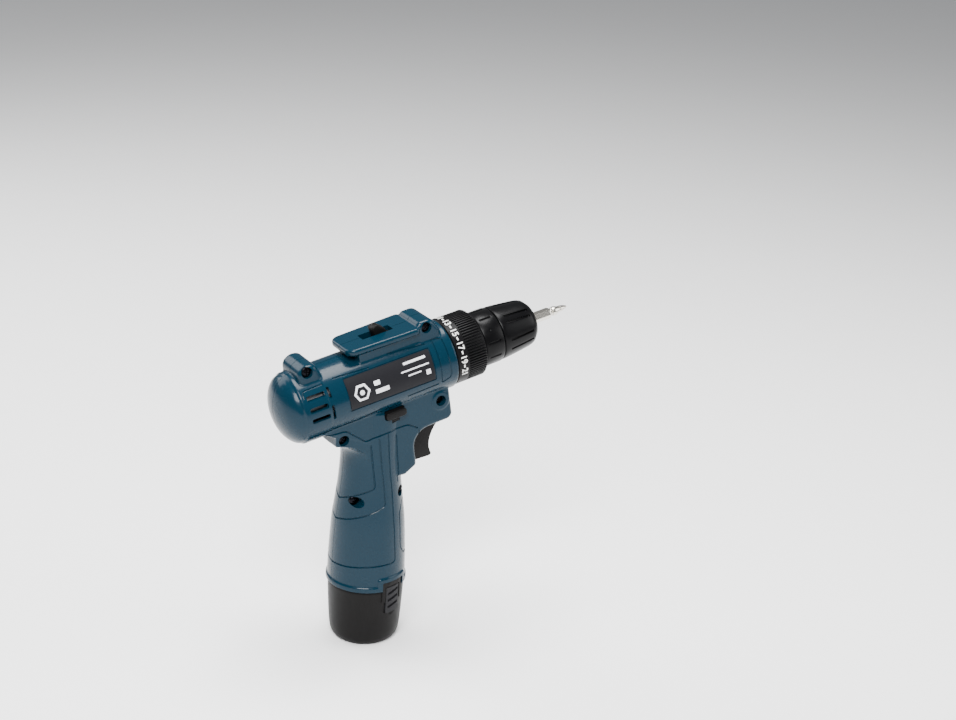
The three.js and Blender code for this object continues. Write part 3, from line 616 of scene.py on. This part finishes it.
# the two housing halves
housing = {
    "voxel": 0.46, "softening": 5, "keep": 0.42,
    "seamGap": 0.15, "bellyHalf": 16.6, "bellyRounding": 3.0, "wall": 2.4,
    "bore": 19.8, "handleBore": 21.0, "grooveRadius": 0.55,
}
seamHeight = 39.4

barrelProfile = [
    (0, -66.8), (4, -66.6), (9, -65.6), (14, -63.8), (17.8, -61.4), (20.2, -58.9), (21.1, -57), (21.3, -56.2),
]
barrelProfileFront = [
    (21.1, -56), (22.2, -55.2), (22.2, -39.6), (21.95, -39.2), (21.95, 46.4), (21.4, 47.2), (0, 47.2),
]

handleProfile = [(0, seamHeight), (25.2, seamHeight), (25.2, 42.4)]
handleCurve = [(24.35, 43.0), (24.2, 52), (23.9, 60), (23.3, 72), (22.6, 82), (21.2, 93), (19.8, 104),
               (18.9, 115), (18.4, 125), (18.3, 135)]

bellyCorners = [
    (-46, -8, 0), (-45.4, -16, 4), (-33, -23.4, 6), (-17.4, -33, 5), (-12, -60, 0), (4, -62.6, 3),
    (12.6, -58.6, 2.4), (13.2, -36.6, 11), (41.6, -36.4, 4.2), (41.8, -8, 0),
]

screwSpots = [
    {"node": "housing_screw_rear_top", "x": -46.4, "z": 24.9, "face": 11.4},
    {"node": "housing_screw_front_top", "x": 33.4, "z": 26.4, "face": 11.4},
    {"node": "housing_screw_front_low", "x": 34.3, "z": -21.8, "face": 14},
    {"node": "housing_screw_rear_low", "x": -32.4, "z": -24.2, "face": 14},
    {"node": "housing_screw_mid_handle", "x": -29.6, "z": -69.6, "face": 10.4},
    {"node": "housing_screw_front_handle", "x": 0, "z": -72.6, "face": 11.4},
]


def barrelPieces():
    barrel = spun("barrelBlank", smoothRun(barrelProfile) + barrelProfileFront, steps=128)
    belly = plate("bellyBlank", roundedCorners(bellyCorners), housing["bellyHalf"],
                  housing["bellyRounding"], 5)
    podLow, podHigh = 25.0, 28.6
    podOutline = roundedCorners([(-19.2, -13.2, 6), (29, -15, 3), (29, 15, 3), (-19.2, 13.2, 6)])
    pod = tablet("podBlank", podOutline, podLow - 0.6, podHigh, 1.5, 4)
    podRoot = block("podRoot", (-12.5, 29), (-12, 12), (14, podHigh - 1.6), 1.0)
    rearHump = plate("rearHump", roundedCorners(
        [(-52.6, 10, 0), (-51.8, 26.2, 5.5), (-46.2, 29, 6), (-40, 28.2, 4.5), (-35.6, 14, 0)]), 12.8, 3.4, 5)
    frontHump = plate("frontHump", roundedCorners(
        [(26.4, 10, 0), (27.6, 30.8, 3.6), (38, 30.8, 5), (42.6, 23.4, 4), (43.4, 10, 0)]), 13, 3.2, 5)
    hood = plate("lampHood", roundedCorners(
        [(36, -20, 0), (41.2, -22.4, 1), (44.4, -30.4, 0.7), (43.4, -31.4, 0.4), (36, -29, 0)]), 5.6, 0.8, 3)
    pieces = [barrel, belly, pod, podRoot, rearHump, frontHump, hood]
    for side in (-1, 1):
        start, end = sorted((side * 9, side * 17.2))
        boss = rod("screwBoss", 6.2, start, end, "Y", (34.3, -21.8), 48, 0.8)
        pieces.append(boss)
    for piece in pieces:
        applyPlace(piece, barrelPlace)
    return pieces


def handlePieces():
    profile = handleProfile + smoothRun(handleCurve, 4) + [(18.3, 156), (0, 156)]
    handle = spun("handleBlank", profile, "Z", 128)
    flareCurve = [(18.5, 122), (18.8, 127), (20.4, 131.4), (24, 135.2), (29, 137.6), (36, 139)]
    flare = spun("neckFlare", [(0, 122)] + smoothRun(flareCurve, 4) + [(36, 150), (0, 150)], "Z", 96)
    half = housing["bellyHalf"] - 0.4
    boolean(flare, block("flareLimit", (-32, 3), (-half, half), (100, 152)), "INTERSECT")
    pieces = [handle, flare]
    frameHalf, frameTop = 11.2, 48.2
    for side in (-1, 1):
        rim = rod("lipFrame", 25.2, seamHeight, frameTop, "Z", (0, 0), 96)
        limit = block("lipFrameLimit", (-frameHalf, frameHalf), (5, 40), (30, frameTop - 0.2), 1.6)
        turn = turnBy(-17 if side > 0 else -163, "Z")
        applyPlace(limit, turn)
        boolean(rim, limit, "INTERSECT")
        pieces.append(rim)
    return pieces


def castTo(target, start, aim):
    direction = (aim - start).normalized()
    hit, place = target.ray_cast(start, direction)[:2]
    return place if hit else None


def surfacePath(target, corners, kind, step=1.2):
    # corners in a readable form, walked in small steps and dropped on the surface
    walked = []
    for i in range(len(corners) - 1):
        first, second = Vector(corners[i]), Vector(corners[i + 1])
        scale = 0.38 if kind != "side" else 1
        length = math.hypot((second.x - first.x) * (scale if kind == "handle" else 1),
                            (second.y - first.y) * (scale if kind == "barrel" else 1))
        count = max(1, round(length / step))
        walked += [first.lerp(second, k / count) for k in range(count)]
    walked.append(Vector(corners[-1]))
    path = []
    for a, b in walked:
        if kind == "handle":
            angle = math.radians(a)
            aim = Vector((0, 0, b)) * mm
            start = Vector((60 * math.sin(angle), -60 * math.cos(angle), b)) * mm
        elif kind == "barrel":
            angle = math.radians(b)
            aim = barrelPlace @ (Vector((a, 0, 0)) * mm)
            start = barrelPlace @ (Vector((a, -60 * math.cos(angle), 60 * math.sin(angle))) * mm)
        else:
            aim = barrelPlace @ (Vector((a, 0, b)) * mm)
            start = barrelPlace @ (Vector((a, -60, b)) * mm)
        place = castTo(target, start, aim)
        if place is not None:
            path.append(place)
    return path


def rounded(points, radius, kindScale=(1, 1)):
    # softens the corners of an open path
    result = [points[0]]
    for i in range(1, len(points) - 1):
        here = Vector(points[i])
        before = Vector(points[i - 1]) - here
        after = Vector(points[i + 1]) - here

        def back(way):
            length = math.hypot(way.x * kindScale[0], way.y * kindScale[1])
            return here + way * min(0.45, radius / length)
        start, end = back(before), back(after)
        for k in range(5):
            t = k / 4
            result.append(tuple(start.lerp(here, t).lerp(here.lerp(end, t), t)))
    return result + [points[-1]]


# kind, rounding of the corners, a radius of its own, and the path: on the handle (degrees from the right
# side towards the front, height), on the side (along, up), on the barrel (along, degrees up from the right)
grooves = [
    ("handle", 2.5, None, [(-89.6, 54.4), (-59, 55.6), (-28, 57), (19, 57.6), (16.4, 85), (16.2, 104),
        (5.2, 142.4)]),
    ("handle", 2.5, None, [(-89.6, 83.8), (-62, 86.8), (-31, 90.8), (1, 95.9), (-1, 108), (-12.9, 140.2)]),
    ("handle", 2.5, None, [(-89.6, 97.3), (-53, 102.6), (-17.5, 108), (-28.6, 136.4)]),
    ("handle", 2.5, None, [(25.6, 140.6), (34.7, 108.6)]),
    ("handle", 2.5, None, [(89.6, 95.6), (46, 94.8), (32, 88), (31.6, 66), (42, 59.8), (89.6, 59)]),
    ("side", 2, None, [(-50, -17), (-41, -17.2), (-30, -18.4), (-18.6, -30.2), (-6.8, -28.6), (10.2, -29.4),
        (16.4, -34)]),
    ("side", 1, None, [(17.2, -35.6), (14.4, -56)]),
    ("barrel", 1, 0.75, [(-54, -36.5), (-21.7, -36.6), (-6.4, -30)]),
    ("barrel", 3, 0.5, [(-39.4, 47), (-53, 46), (-53.4, 34)]),
    ("barrel", 1, None, [(11.4, -24), (33, -22)]),
    ("barrel", 1, None, [(-32.4, 50), (-8.9, 46)]),
    ("barrel", 1, None, [(5.4, 57), (30.1, 51)]),
    ("barrel", 1.6, 0.6, [(-19.4, 116), (-19.8, 66)]),
]

patchLoop = [(35, 50), (35.2, 54), (38, 53.6), (41.4, 50), (41.6, -12), (40.6, -17), (35.6, -21.6), (35, -18)]


def grooveTools(blank):
    tools = []
    for number, (kind, corner, radius, path) in enumerate(grooves):
        scale = {"handle": (0.38, 1), "barrel": (1, 0.38), "side": (1, 1)}[kind]
        path = surfacePath(blank, rounded(path, corner, scale), kind)
        tools.append(sweptTube("groove%d" % number, path, radius or housing["grooveRadius"]))
    loop = surfacePath(blank, patchLoop + patchLoop[:1], "barrel")[:-1]
    tools.append(sweptTube("patchGroove", loop, housing["grooveRadius"], loop=True))
    return tools


def cavityTool():
    inner = housing["bore"]
    bore = spun("bore", [(0, -64), (15.8, -62.6), (inner, -57.6), (inner, 52), (0, 52)], steps=96)
    wall = housing["wall"]
    corners = [(x + (wall if x < 0 else -wall), z + (0 if z > -10 else wall), radius and max(0.5, radius - 1))
               for x, z, radius in bellyCorners]
    corners[3] = (-16, -34, 3)
    corners[4] = (-12, -57.6, 0)
    hollow = plate("bellyHollow", roundedCorners(corners), housing["bellyHalf"] - wall)
    for piece in (bore, hollow):
        applyPlace(piece, barrelPlace)
    wide = housing["handleBore"]
    profile = [(0, 30), (wide, 30), (wide, 79.1), (15.9, 98.5), (15.9, 156.5), (0, 156.5)]
    well = spun("handleWell", profile, "Z", 96)
    boolean(well, bore, "UNION")
    boolean(well, hollow, "UNION")
    return well


def postsAndHoles():
    posts, holes = [], []
    for spot in screwSpots:
        at = (spot["x"], spot["z"])
        posts.append(rod("post", 4.2, -spot["face"], spot["face"], "Y", at, 32))
        head = rod("headHole", 3.4, -40, -spot["face"] + 2.6, "Y", at, 40)
        shank = rod("shankHole", 1.8, -spot["face"] - 0.2, 6.6, "Y", at, 20)
        holes.append(boolean(head, shank, "UNION"))
    for piece in posts + holes:
        applyPlace(piece, barrelPlace)
    return posts, holes


def openingTools():
    tools = []
    for side in (-1, 1):
        span = (-30, -14) if side < 0 else (14, 30)
        for row in range(3):
            top = 13.2 - row * 6.6
            tools.append(block("vent", (-52, -40.4), span, (top - 3, top), 0.7, 2))
        tools.append(block("ventSlot", (-38.5, -36.8), span, (8.2, 14.2), 0.4, 2))
        tools.append(block("ventSlot", (-38.5, -36.8), span, (-5, 4), 0.4, 2))
        ends = (-30, -11.6) if side < 0 else (11.6, 30)
        tools.append(plate("selectorPocket", roundedCorners(
            [(-4.9, -21, 2), (9.9, -21, 2), (9.9, -15.2, 2), (-4.9, -15.2, 2)]), 9.2))
        applyPlace(tools[-1], Matrix.Translation((0, sum(ends) / 2 * mm, 0)))
    tools += [
        block("selectorTunnel", (-0.4, 5.4), (-30, 30), (-24.1, -19.8)),
        block("sliderSlot", (-4.6, 16), (-3.6, 3.6), (16, 40), 0.4, 2),
        block("triggerSlot", (2, 34), (-7.4, 7.4), (-60.7, -36.6)),
        block("switchSpace", (-23, 16), (-9.6, 9.6), (-60.7, -27)),
        rod("lampHole", 3.9, 33, 60, "X", (0, -31.6), 48),
        rod("ringClearance", housing["bore"], -57, 60, "X", (0, 0), 96),
        block("nameSlab", (-27.3, 31.3), (-40, -5), (-4.3, 15.3), 0.6, 2),
    ]
    keep = rod("nameKeep", 21.5, -40, 40, "X", (0, 0), 128)
    boolean(tools[-1], keep)
    for tool in tools:
        applyPlace(tool, barrelPlace)
    for side in (-1, 1):
        notch = block("tabNotch", (-8.5, 8.5), (16, 40), (0, 45.4), 0.8, 3)
        turn = turnBy(-17 if side > 0 else -163, "Z")
        tools.append(applyPlace(notch, turn))
    return tools


def buildHousing():
    pieces = barrelPieces() + handlePieces()
    blank = joined("housingBlank", pieces)
    applyModifier(blank, "REMESH", mode="VOXEL", voxel_size=housing["voxel"] * mm, adaptivity=0)
    applyModifier(blank, "SMOOTH", factor=0.5, iterations=housing["softening"])
    applyModifier(blank, "DECIMATE", ratio=housing["keep"])
    print("  housing blank", len(blank.data.polygons))
    rightGrooves = grooveTools(blank)
    leftGrooves = [mirrored(tool, tool.name + "Left") for tool in rightGrooves]
    posts, holes = postsAndHoles()
    allPosts = boolean(joined("screwPosts", posts), blank, "INTERSECT", keepTool=True)
    boolean(blank, cavityTool())
    boolean(blank, allPosts, "UNION")
    for tool in openingTools() + holes:
        boolean(blank, tool)
    well = rod("stemClearance", housing["handleBore"], 20, 79.1, "Z", (0, 0), 96)
    boolean(blank, well)
    for tool in rightGrooves + leftGrooves:
        boolean(blank, tool)
    print("  housing cut", len(blank.data.polygons))
    left = duplicate(blank, "housingLeft")
    gap = housing["seamGap"]
    boolean(blank, block("leftAway", (-200, 200), (-gap, 200), (-50, 400)))
    boolean(left, block("rightAway", (-200, 200), (-200, gap), (-50, 400)))
    blank.name = "housingRight"
    for piece, node in ((blank, "housing_right"), (left, "housing_left")):
        finishPiece(piece, "housing", "housing_blue", [node])


buildHousing()
print("housing ready")


def sectorPlace(degreesUp):
    # turns a piece modelled on top of the barrel to its angle above the right side
    return turnBy(90 - degreesUp, "X")


def around(name, piece, angles):
    # copies of a piece modelled on top of the barrel, one at each angle
    copies = []
    for angle in angles:
        copies.append(applyPlace(duplicate(piece, name), sectorPlace(angle)))
    bpy.data.objects.remove(piece)
    return joined(name, copies)


# housing screws, one modelled and five copied
screwShape = {"headRadius": 3.1, "shankRadius": 1.5, "domeHeight": 0.9, "headDepth": 2.2, "length": 16}


def buildScrews():
    face = screwShape["domeHeight"]
    radius = screwShape["headRadius"]
    shank, depth, length = screwShape["shankRadius"], screwShape["headDepth"], screwShape["length"]
    profile = smoothRun([(0, -face), (radius * 0.5, -face * 0.8), (radius * 0.85, -face * 0.3),
                         (radius, 0.25)])
    profile += [(radius, depth), (shank, depth + 0.2), (shank, length - 1), (0, length)]
    model = spun("screwModel", profile, "X", 40)
    arms = [block("socketArm", (-3, 1.2), (-1.9, 1.9), (-0.32, 0.32), 0.1, 2),
            block("socketArm", (-3, 1.2), (-0.32, 0.32), (-1.9, 1.9), 0.1, 2)]
    cut(model, *arms)
    turn = turnBy(90, "Z")
    for number, spot in enumerate(screwSpots):
        screw = duplicate(model, spot["node"].replace("housing_screw", "screw"))
        spin = turnBy(17 + 41 * number, "X")
        place = Matrix.Translation(Vector((spot["x"], -spot["face"] + 0.6, spot["z"])) * mm)
        applyPlace(screw, barrelPlace @ place @ turn @ spin)
        finishPiece(screw, "housing", "screws", [spot["node"]])
    bpy.data.objects.remove(model)


# name plate with a plain printed mark and no lettering
namePlateShape = {"x": (-26.6, 30.6), "z": (-3.6, 14.6), "inner": 21.56, "outer": 21.92, "printTop": 21.97}


def shellBand(name, inner, outer, x):
    profile = [(inner, x[0]), (outer, x[0]), (outer, x[1]), (inner, x[1])]
    return spun(name, profile, "X", 256, closed=True)


def buildNamePlate():
    shape = namePlateShape
    (x0, x1), (z0, z1) = shape["x"], shape["z"]
    outline = roundedCorners([(x0, z0, 0.8), (x1, z0, 0.8), (x1, z1, 0.8), (x0, z1, 0.8)])
    window = applyPlace(plate("plateWindow", outline, 14), moveBy(0, -20, 0))
    foil = shellBand("namePlate", shape["inner"], shape["outer"], (x0 - 1, x1 + 1))
    boolean(foil, window, "INTERSECT")

    hexagon = [(math.cos(math.radians(60 * i)), math.sin(math.radians(60 * i))) for i in range(6)]
    badge = plate("badge", [(-18 + 5.4 * x, 5 + 5.4 * z) for x, z in hexagon], 14)
    boolean(badge, plate("badgeHole", [(-18 + 3.9 * x, 5 + 3.9 * z) for x, z in hexagon], 15))
    marks = [badge, rod("badgeDot", 1.5, -14, 14, "Y", (-18, 5), 32)]
    bars = [(-9.5, 1.2, 9, 2.6), (-9.5, 6.2, 4, 2.6), (12, 11.2, 15, 1.3), (9, 7.4, 19, 0.8),
            (13, 4.4, 9, 0.8), (25, 1.4, 3, 3)]
    for x, z, length, height in bars:
        marks.append(block("bar", (x, x + length), (-14, 14), (z, z + height), 0.3, 2))
    marks = joined("printMarks", marks)
    applyPlace(marks, moveBy(0, -20, 0))
    layer = shellBand("printLayer", shape["outer"] - 0.1, shape["printTop"], (x0, x1))
    boolean(layer, marks, "INTERSECT")
    setFinish(foil, "plateFoil")
    setFinish(layer, "platePrint")
    piece = joined("namePlate", [foil, layer])
    applyPlace(piece, barrelPlace)
    finishPiece(piece, "housing", "label", ["name_plate"], 30)


# torque ring with its knurl and numbers
ringShape = {"start": 47.8, "end": 69.1, "bandEnd": 55.2, "bandRadius": 21.2, "rootRadius": 20.2,
             "ribRadius": 21.15, "ribs": 76, "ribWidth": 0.9, "inner": 19.05, "lipInner": 11.4,
             "numberStep": 12.2, "numberAtTop": 12, "lastNumber": 21, "numberHeight": 5.6,
             "numberPlace": 51.5}


def wrapOnRing(piece, degreesUp, radius):
    # bends a flat mark round the ring, reading downwards with its top towards the chuck
    for vertex in piece.data.vertices:
        along, up, height = vertex.co
        angle = math.radians(degreesUp) - along / (radius * mm)
        reach = radius * mm + height
        vertex.co = (ringShape["numberPlace"] * mm + up, -reach * math.cos(angle), reach * math.sin(angle))


def ringMarks():
    marks = []
    for number in range(1, ringShape["lastNumber"] + 1):
        angle = 90 + (ringShape["numberAtTop"] - number) * ringShape["numberStep"]
        if number % 2:
            bpy.ops.object.text_add()
            mark = bpy.context.object
            mark.data.body = str(number)
            mark.data.size = ringShape["numberHeight"] * mm
            mark.data.align_x = "CENTER"
            mark.data.align_y = "CENTER"
            mark.data.extrude = 0.12 * mm
            mark.data.offset = 0.09 * mm
            activate(mark)
            bpy.ops.object.convert(target="MESH")
            mark = bpy.context.object
        else:
            mark = block("dash", (-1.0, 1.0), (-0.5, 0.5), (-0.12, 0.12), 0.1, 2)
        wrapOnRing(mark, angle, ringShape["bandRadius"])
        marks.append(mark)
    return joined("ringMarks", marks)


def buildTorqueRing():
    shape = ringShape
    start, end, root, band = shape["start"], shape["end"], shape["rootRadius"], shape["bandRadius"]
    outside = [(shape["inner"], start), (band - 0.4, start), (band, start + 0.4),
               (band, shape["bandEnd"]), (root, shape["bandEnd"] + 0.5), (root, end - 1.6)]
    front = smoothRun([(root, end - 1.6), (root - 0.5, end - 0.5), (root - 1.6, end)], 4)[1:]
    inside = [(shape["lipInner"], end), (shape["lipInner"], end - 2.6), (shape["inner"], end - 2.6)]
    ring = spun("torqueRing", outside + front + inside, "X", 152, closed=True)
    rib = block("rib", (shape["bandEnd"] + 0.1, end - 1.1), (-shape["ribWidth"] / 2, shape["ribWidth"] / 2),
                (root - 0.6, shape["ribRadius"]), 0.22, 2)
    step = 360 / shape["ribs"]
    ribs = around("ribs", rib, [step * i for i in range(shape["ribs"])])
    boolean(ring, ribs, "UNION")
    marks = ringMarks()
    setFinish(ring, "ringBlack")
    setFinish(marks, "digitWhite")
    piece = applyPlace(joined("torqueRing", [ring, marks]), barrelPlace)
    finishPiece(piece, "torque_ring", "ring_black", ["torque_ring"])


# chuck sleeves
sleeveShape = {"rearStart": 69.8, "joint": 83.8, "nose": 111.4, "rearRadius": 17.5, "frontRadius": 17.1,
               "noseRadius": 10.8, "bodyRadius": 12.7, "grooveAngles": (1, 39, 55, 98),
               "grooveHalf": 0.75, "windowAngle": 37.5, "slotsFromWindow": (27, 60, 93)}


def threefold(angles):
    # what is on the sleeves repeats three times round them
    return [angle + 120 * turn for turn in range(3) for angle in angles]


def buildRearSleeve():
    start, joint, radius = sleeveShape["rearStart"], sleeveShape["joint"], sleeveShape["rearRadius"]
    inner = sleeveShape["bodyRadius"]
    profile = [(inner, start), (radius - 1.2, start), (radius - 0.5, start + 0.3), (radius, start + 1.2),
               (radius, joint - 1.2), (radius - 0.25, joint - 0.6), (radius - 0.9, joint - 0.15),
               (inner, joint - 0.15)]
    sleeve = spun("chuckRearSleeve", profile, "X", 160, closed=True)
    slot = sweptTube("slot", [Vector((x, 0, radius + 0.15)) * mm for x in (72.4, 75, 78, 80.6)], 0.85)
    windows = threefold([sleeveShape["windowAngle"]])
    angles = [angle + offset for angle in windows for offset in sleeveShape["slotsFromWindow"]]
    boolean(sleeve, around("slots", slot, angles))
    bpy.ops.mesh.primitive_uv_sphere_add(segments=48, ring_count=32, radius=mm)
    window = bpy.context.object
    window.scale = (5.2, 3.0, 1.5)
    applyPlace(window, Matrix.Translation(Vector((76, 0, radius + 0.35)) * mm))
    boolean(sleeve, around("windows", window, windows))
    applyPlace(sleeve, barrelPlace)
    finishPiece(sleeve, "spindle", "chuck_black", ["chuck_rear_sleeve"])


def buildFrontSleeve():
    shape = sleeveShape
    joint, nose, radius = shape["joint"], shape["nose"], shape["frontRadius"]
    inner = shape["bodyRadius"] + 0.1
    length = nose - joint
    shares = ((0.945, 0.48), (0.885, 0.78), (0.83, 0.885))
    curve = smoothRun([(radius, joint + 1), (radius - 0.05, joint + length * 0.14)]
                      + [(radius * across, joint + length * along) for across, along in shares])
    profile = [(inner, joint + 0.15), (radius - 0.9, joint + 0.15), (radius - 0.25, joint + 0.45)] + curve
    profile += [(11.6, nose - 0.5), (11.2, nose - 0.75), (10.9, nose - 0.45), (shape["noseRadius"], nose),
                (shape["noseRadius"] - 1.4, nose), (inner, nose - 12)]
    sleeve = spun("chuckFrontSleeve", profile, "X", 180, closed=True)
    outline = roundedCorners([(88.6, 15.9, 0.8), (106.2, 13.6, 0.8), (107, 22, 0), (87.6, 22, 0)], 4)
    groove = plate("sleeveGroove", outline, shape["grooveHalf"], 0.3, 3)
    boolean(sleeve, around("sleeveGrooves", groove, threefold(shape["grooveAngles"])))
    applyPlace(sleeve, barrelPlace)
    finishPiece(sleeve, "chuck_sleeve", "chuck_black", ["chuck_front_sleeve"])


# screwdriver bit
bitShape = {"flats": 6.35, "start": 89.4, "shankEnd": 127.0, "tip": 140.3}


def buildBit():
    shape = bitShape
    apex = shape["flats"] / math.sqrt(3)
    shank = rod("screwdriverBit", apex, shape["start"], shape["shankEnd"], "X", (0, 0), 6)
    applyModifier(shank, "BEVEL", width=0.22 * mm, segments=2, limit_method="ANGLE",
                  angle_limit=math.radians(40))
    start = shape["start"]
    trimProfile = [(0, 80), (2.2, start), (5, start + 4), (5, 123.4), (3.0, 127.2), (0, 127.2)]
    trim = spun("shankTrim", trimProfile, "X", 64)
    boolean(shank, trim, "INTERSECT")
    profile = [(0, 125), (2.9, 125), (2.75, 126.8), (2.0, 127.7), (2.0, 128.4), (2.75, 129), (2.95, 129.6)]
    profile += smoothRun([(2.95, 131), (2.6, 132), (2.15, 133.6), (1.95, 136), (1.5, 138), (0.8, 139.9),
                          (0, shape["tip"])], 4)
    end = spun("bitEnd", profile, "X", 48)
    flute = plate("bitFlute", [(133.6, 2.6), (141, 0.24), (142, 4), (133.6, 4)], 1.2)
    corner = turnBy(45, "X")
    wedge = block("wedge", (132, 143), (0, 3.4), (0, 3.4))
    applyPlace(wedge, corner)
    boolean(flute, wedge, "INTERSECT")
    boolean(end, around("bitFlutes", flute, (45, 135, 225, 315)))
    boolean(shank, end, "UNION")
    applyPlace(shank, barrelPlace)
    finishPiece(shank, "bit", "bit_steel", ["screwdriver_bit"], 30)


# speed slider, direction selector, trigger and work light
def buildSpeedSlider():
    podTop = 28.6
    base = block("speedSlider", (3.5, 15.6), (-3.2, 3.2), (podTop - 5, podTop - 2.6), 0.4, 3)
    fin = plate("fin", roundedCorners([(4.2, podTop - 3, 0), (2.2, podTop + 4.3, 1.6), (6.4, podTop + 5.9, 3),
                                       (11.4, podTop + 1.6, 3), (12.6, podTop - 3, 0)]), 3, 0.8, 4)
    boolean(base, fin, "UNION")
    for x in (9.8, 11.4, 13.0, 14.6):
        boolean(base, rod("gripLine", 0.32, -4, 4, "Y", (x, podTop - 2.55), 16))
    applyPlace(base, barrelPlace)
    finishPiece(base, "speed_slider", "control_black", ["speed_slider"])


selectorShape = {"x": (-4.4, 9.4), "z": (-20.5, -15.7), "reach": 20.3, "depth": 5.2}


def buildSelector():
    (x0, x1), (z0, z1) = selectorShape["x"], selectorShape["z"]
    reach, depth = selectorShape["reach"], selectorShape["depth"]
    outline = roundedCorners([(x0, z0, 2), (x1, z0, 2), (x1, z1, 2), (x0, z1, 2)])
    whole = block("directionSelector", (0, 5), (-reach + depth, reach - depth), (-23.7, -20.2))
    for side in (-1, 1):
        cap = plate("selectorCap", outline, depth / 2, 0.8, 4)
        applyPlace(cap, Matrix.Translation((0, side * (reach - depth / 2) * mm, 0)))
        inner = reach - depth
        leg = block("selectorLeg", (0, 5), sorted((side * (inner - 0.6), side * (inner + 2))), (-23.7, -19))
        boolean(whole, leg, "UNION")
        boolean(whole, cap, "UNION")
    applyPlace(whole, barrelPlace)
    finishPiece(whole, "direction_selector", "control_black", ["direction_selector"])


def buildTrigger():
    front = smoothRun([(40.2, -37), (34.6, -40.8), (30.2, -45.8), (27.6, -51), (26.8, -55.8),
                       (27.4, -59.4)])
    toe = [(27.6, -60.4), (27.0, -61.1), (25.6, -61.4)]
    outline = front + toe + [(11, -60.3), (11, -37)]
    trigger = plate("trigger", outline, 7, 1.7, 5)
    applyPlace(trigger, barrelPlace)
    finishPiece(trigger, "trigger", "control_black", ["trigger"])


def buildWorkLight():
    profile = [(0, 34), (3.6, 34)] + smoothRun([(3.6, 41.6), (3.2, 43), (2.2, 43.9), (0, 44.2)])
    lens = spun("workLightLens", profile, "X", 48)
    applyPlace(lens, barrelPlace @ moveBy(0, 0, -31.6))
    finishPiece(lens, "housing", "lens", ["work_light_lens"])


# battery shell and its two release buttons
batteryShape = {"height": 39.1, "topRadius": 23.9, "footRadius": 17.6, "space": 19.6, "floor": 23.0,
                "pocketTop": 41.8, "buttonHalf": 5.3, "buttonHeight": 17.6, "buttonAngle": 17, "gap": 0.4}


def buttonPlace(side):
    angle = batteryShape["buttonAngle"] - 90
    return turnBy(angle if side < 0 else -angle, "Z")


def buildBattery():
    shape = batteryShape
    height, top, floor = shape["height"], shape["topRadius"], shape["floor"]
    foot = [(0, 0)] + smoothRun([(shape["footRadius"], 0), (19.4, 0.7), (20.7, 2.2), (21.6, 4.4)])
    flank = smoothRun([(21.6, 4.4), (22.3, 9), (22.9, 17), (23.5, 28), (top, height - 0.7)])[1:]
    shell = spun("batteryShell", foot + flank + [(top - 0.5, height), (0, height)], "Z", 160)
    for side in (-1, 1):
        tab = block("batteryTab", (18, 24.3), (-8.2, 8.2), (height - 8, height + 6), 0.9, 4)
        boolean(tab, rod("tabCurve", 24.5, 20, 60, "Z", (0, 0), 96), "INTERSECT")
        applyPlace(tab, buttonPlace(side))
        boolean(shell, tab, "UNION")
    boolean(shell, rod("cellBay", shape["space"], 2.4, 60, "Z", (0, 0), 96))
    boolean(shell, rod("stemSeat", 20.9, height, 60, "Z", (0, 0), 96))
    half, pocketTop = shape["buttonHalf"] + 0.7, shape["pocketTop"]
    outline = roundedCorners([(-half, floor, 1.2), (half, floor, 1.2), (half, pocketTop, 1.2),
                              (-half, pocketTop, 1.2)])
    for side in (-1, 1):
        pocket = plate("pocket", outline, 9)
        applyPlace(pocket, moveBy(29.5, 0, 0) @ turnBy(90, "Z"))
        applyPlace(pocket, buttonPlace(side))
        boolean(shell, pocket)
        scoop = sweptTube("scoop", [Vector(place) * mm for place in
                                    ((26.2, -5.5, 21.6), (25.6, 0, 22.2), (26.2, 5.5, 24.2))], 3.0, sides=8)
        applyPlace(scoop, buttonPlace(side))
        boolean(shell, scoop)
    finishPiece(shell, "battery", "battery_black", ["battery_base"])


def buildButtons():
    shape = batteryShape
    half, low = shape["buttonHalf"], shape["floor"] + shape["gap"]
    high = low + shape["buttonHeight"]
    for side, name in ((-1, "right"), (1, "left")):
        button = block("releaseButton_" + name, (21.9, 24.6), (-half, half), (low, high), 0.6, 3)
        boolean(button, rod("buttonCurve", 24.2, 10, 50, "Z", (0, 0), 128), "INTERSECT")
        for share in (0.27, 0.53, 0.79):
            middle = low + share * shape["buttonHeight"]
            slot = block("buttonSlot", (22.9, 26), (-half + 1.2, half - 0.8), (-0.95, 0.95), 0.4, 2)
            lean = turnBy(14, "X")
            applyPlace(slot, moveBy(0, 0, middle) @ lean)
            boolean(button, slot)
        applyPlace(button, buttonPlace(side))
        finishPiece(button, "release_button_" + name, "button_grey", ["release_button_" + name])


buildScrews()
buildNamePlate()
print("screws and name plate ready")
buildTorqueRing()
buildRearSleeve()
buildFrontSleeve()
buildBit()
print("ring, chuck and bit ready")
buildSpeedSlider()
buildSelector()
buildTrigger()
buildWorkLight()
print("controls ready")
buildBattery()
buildButtons()
print("battery ready")
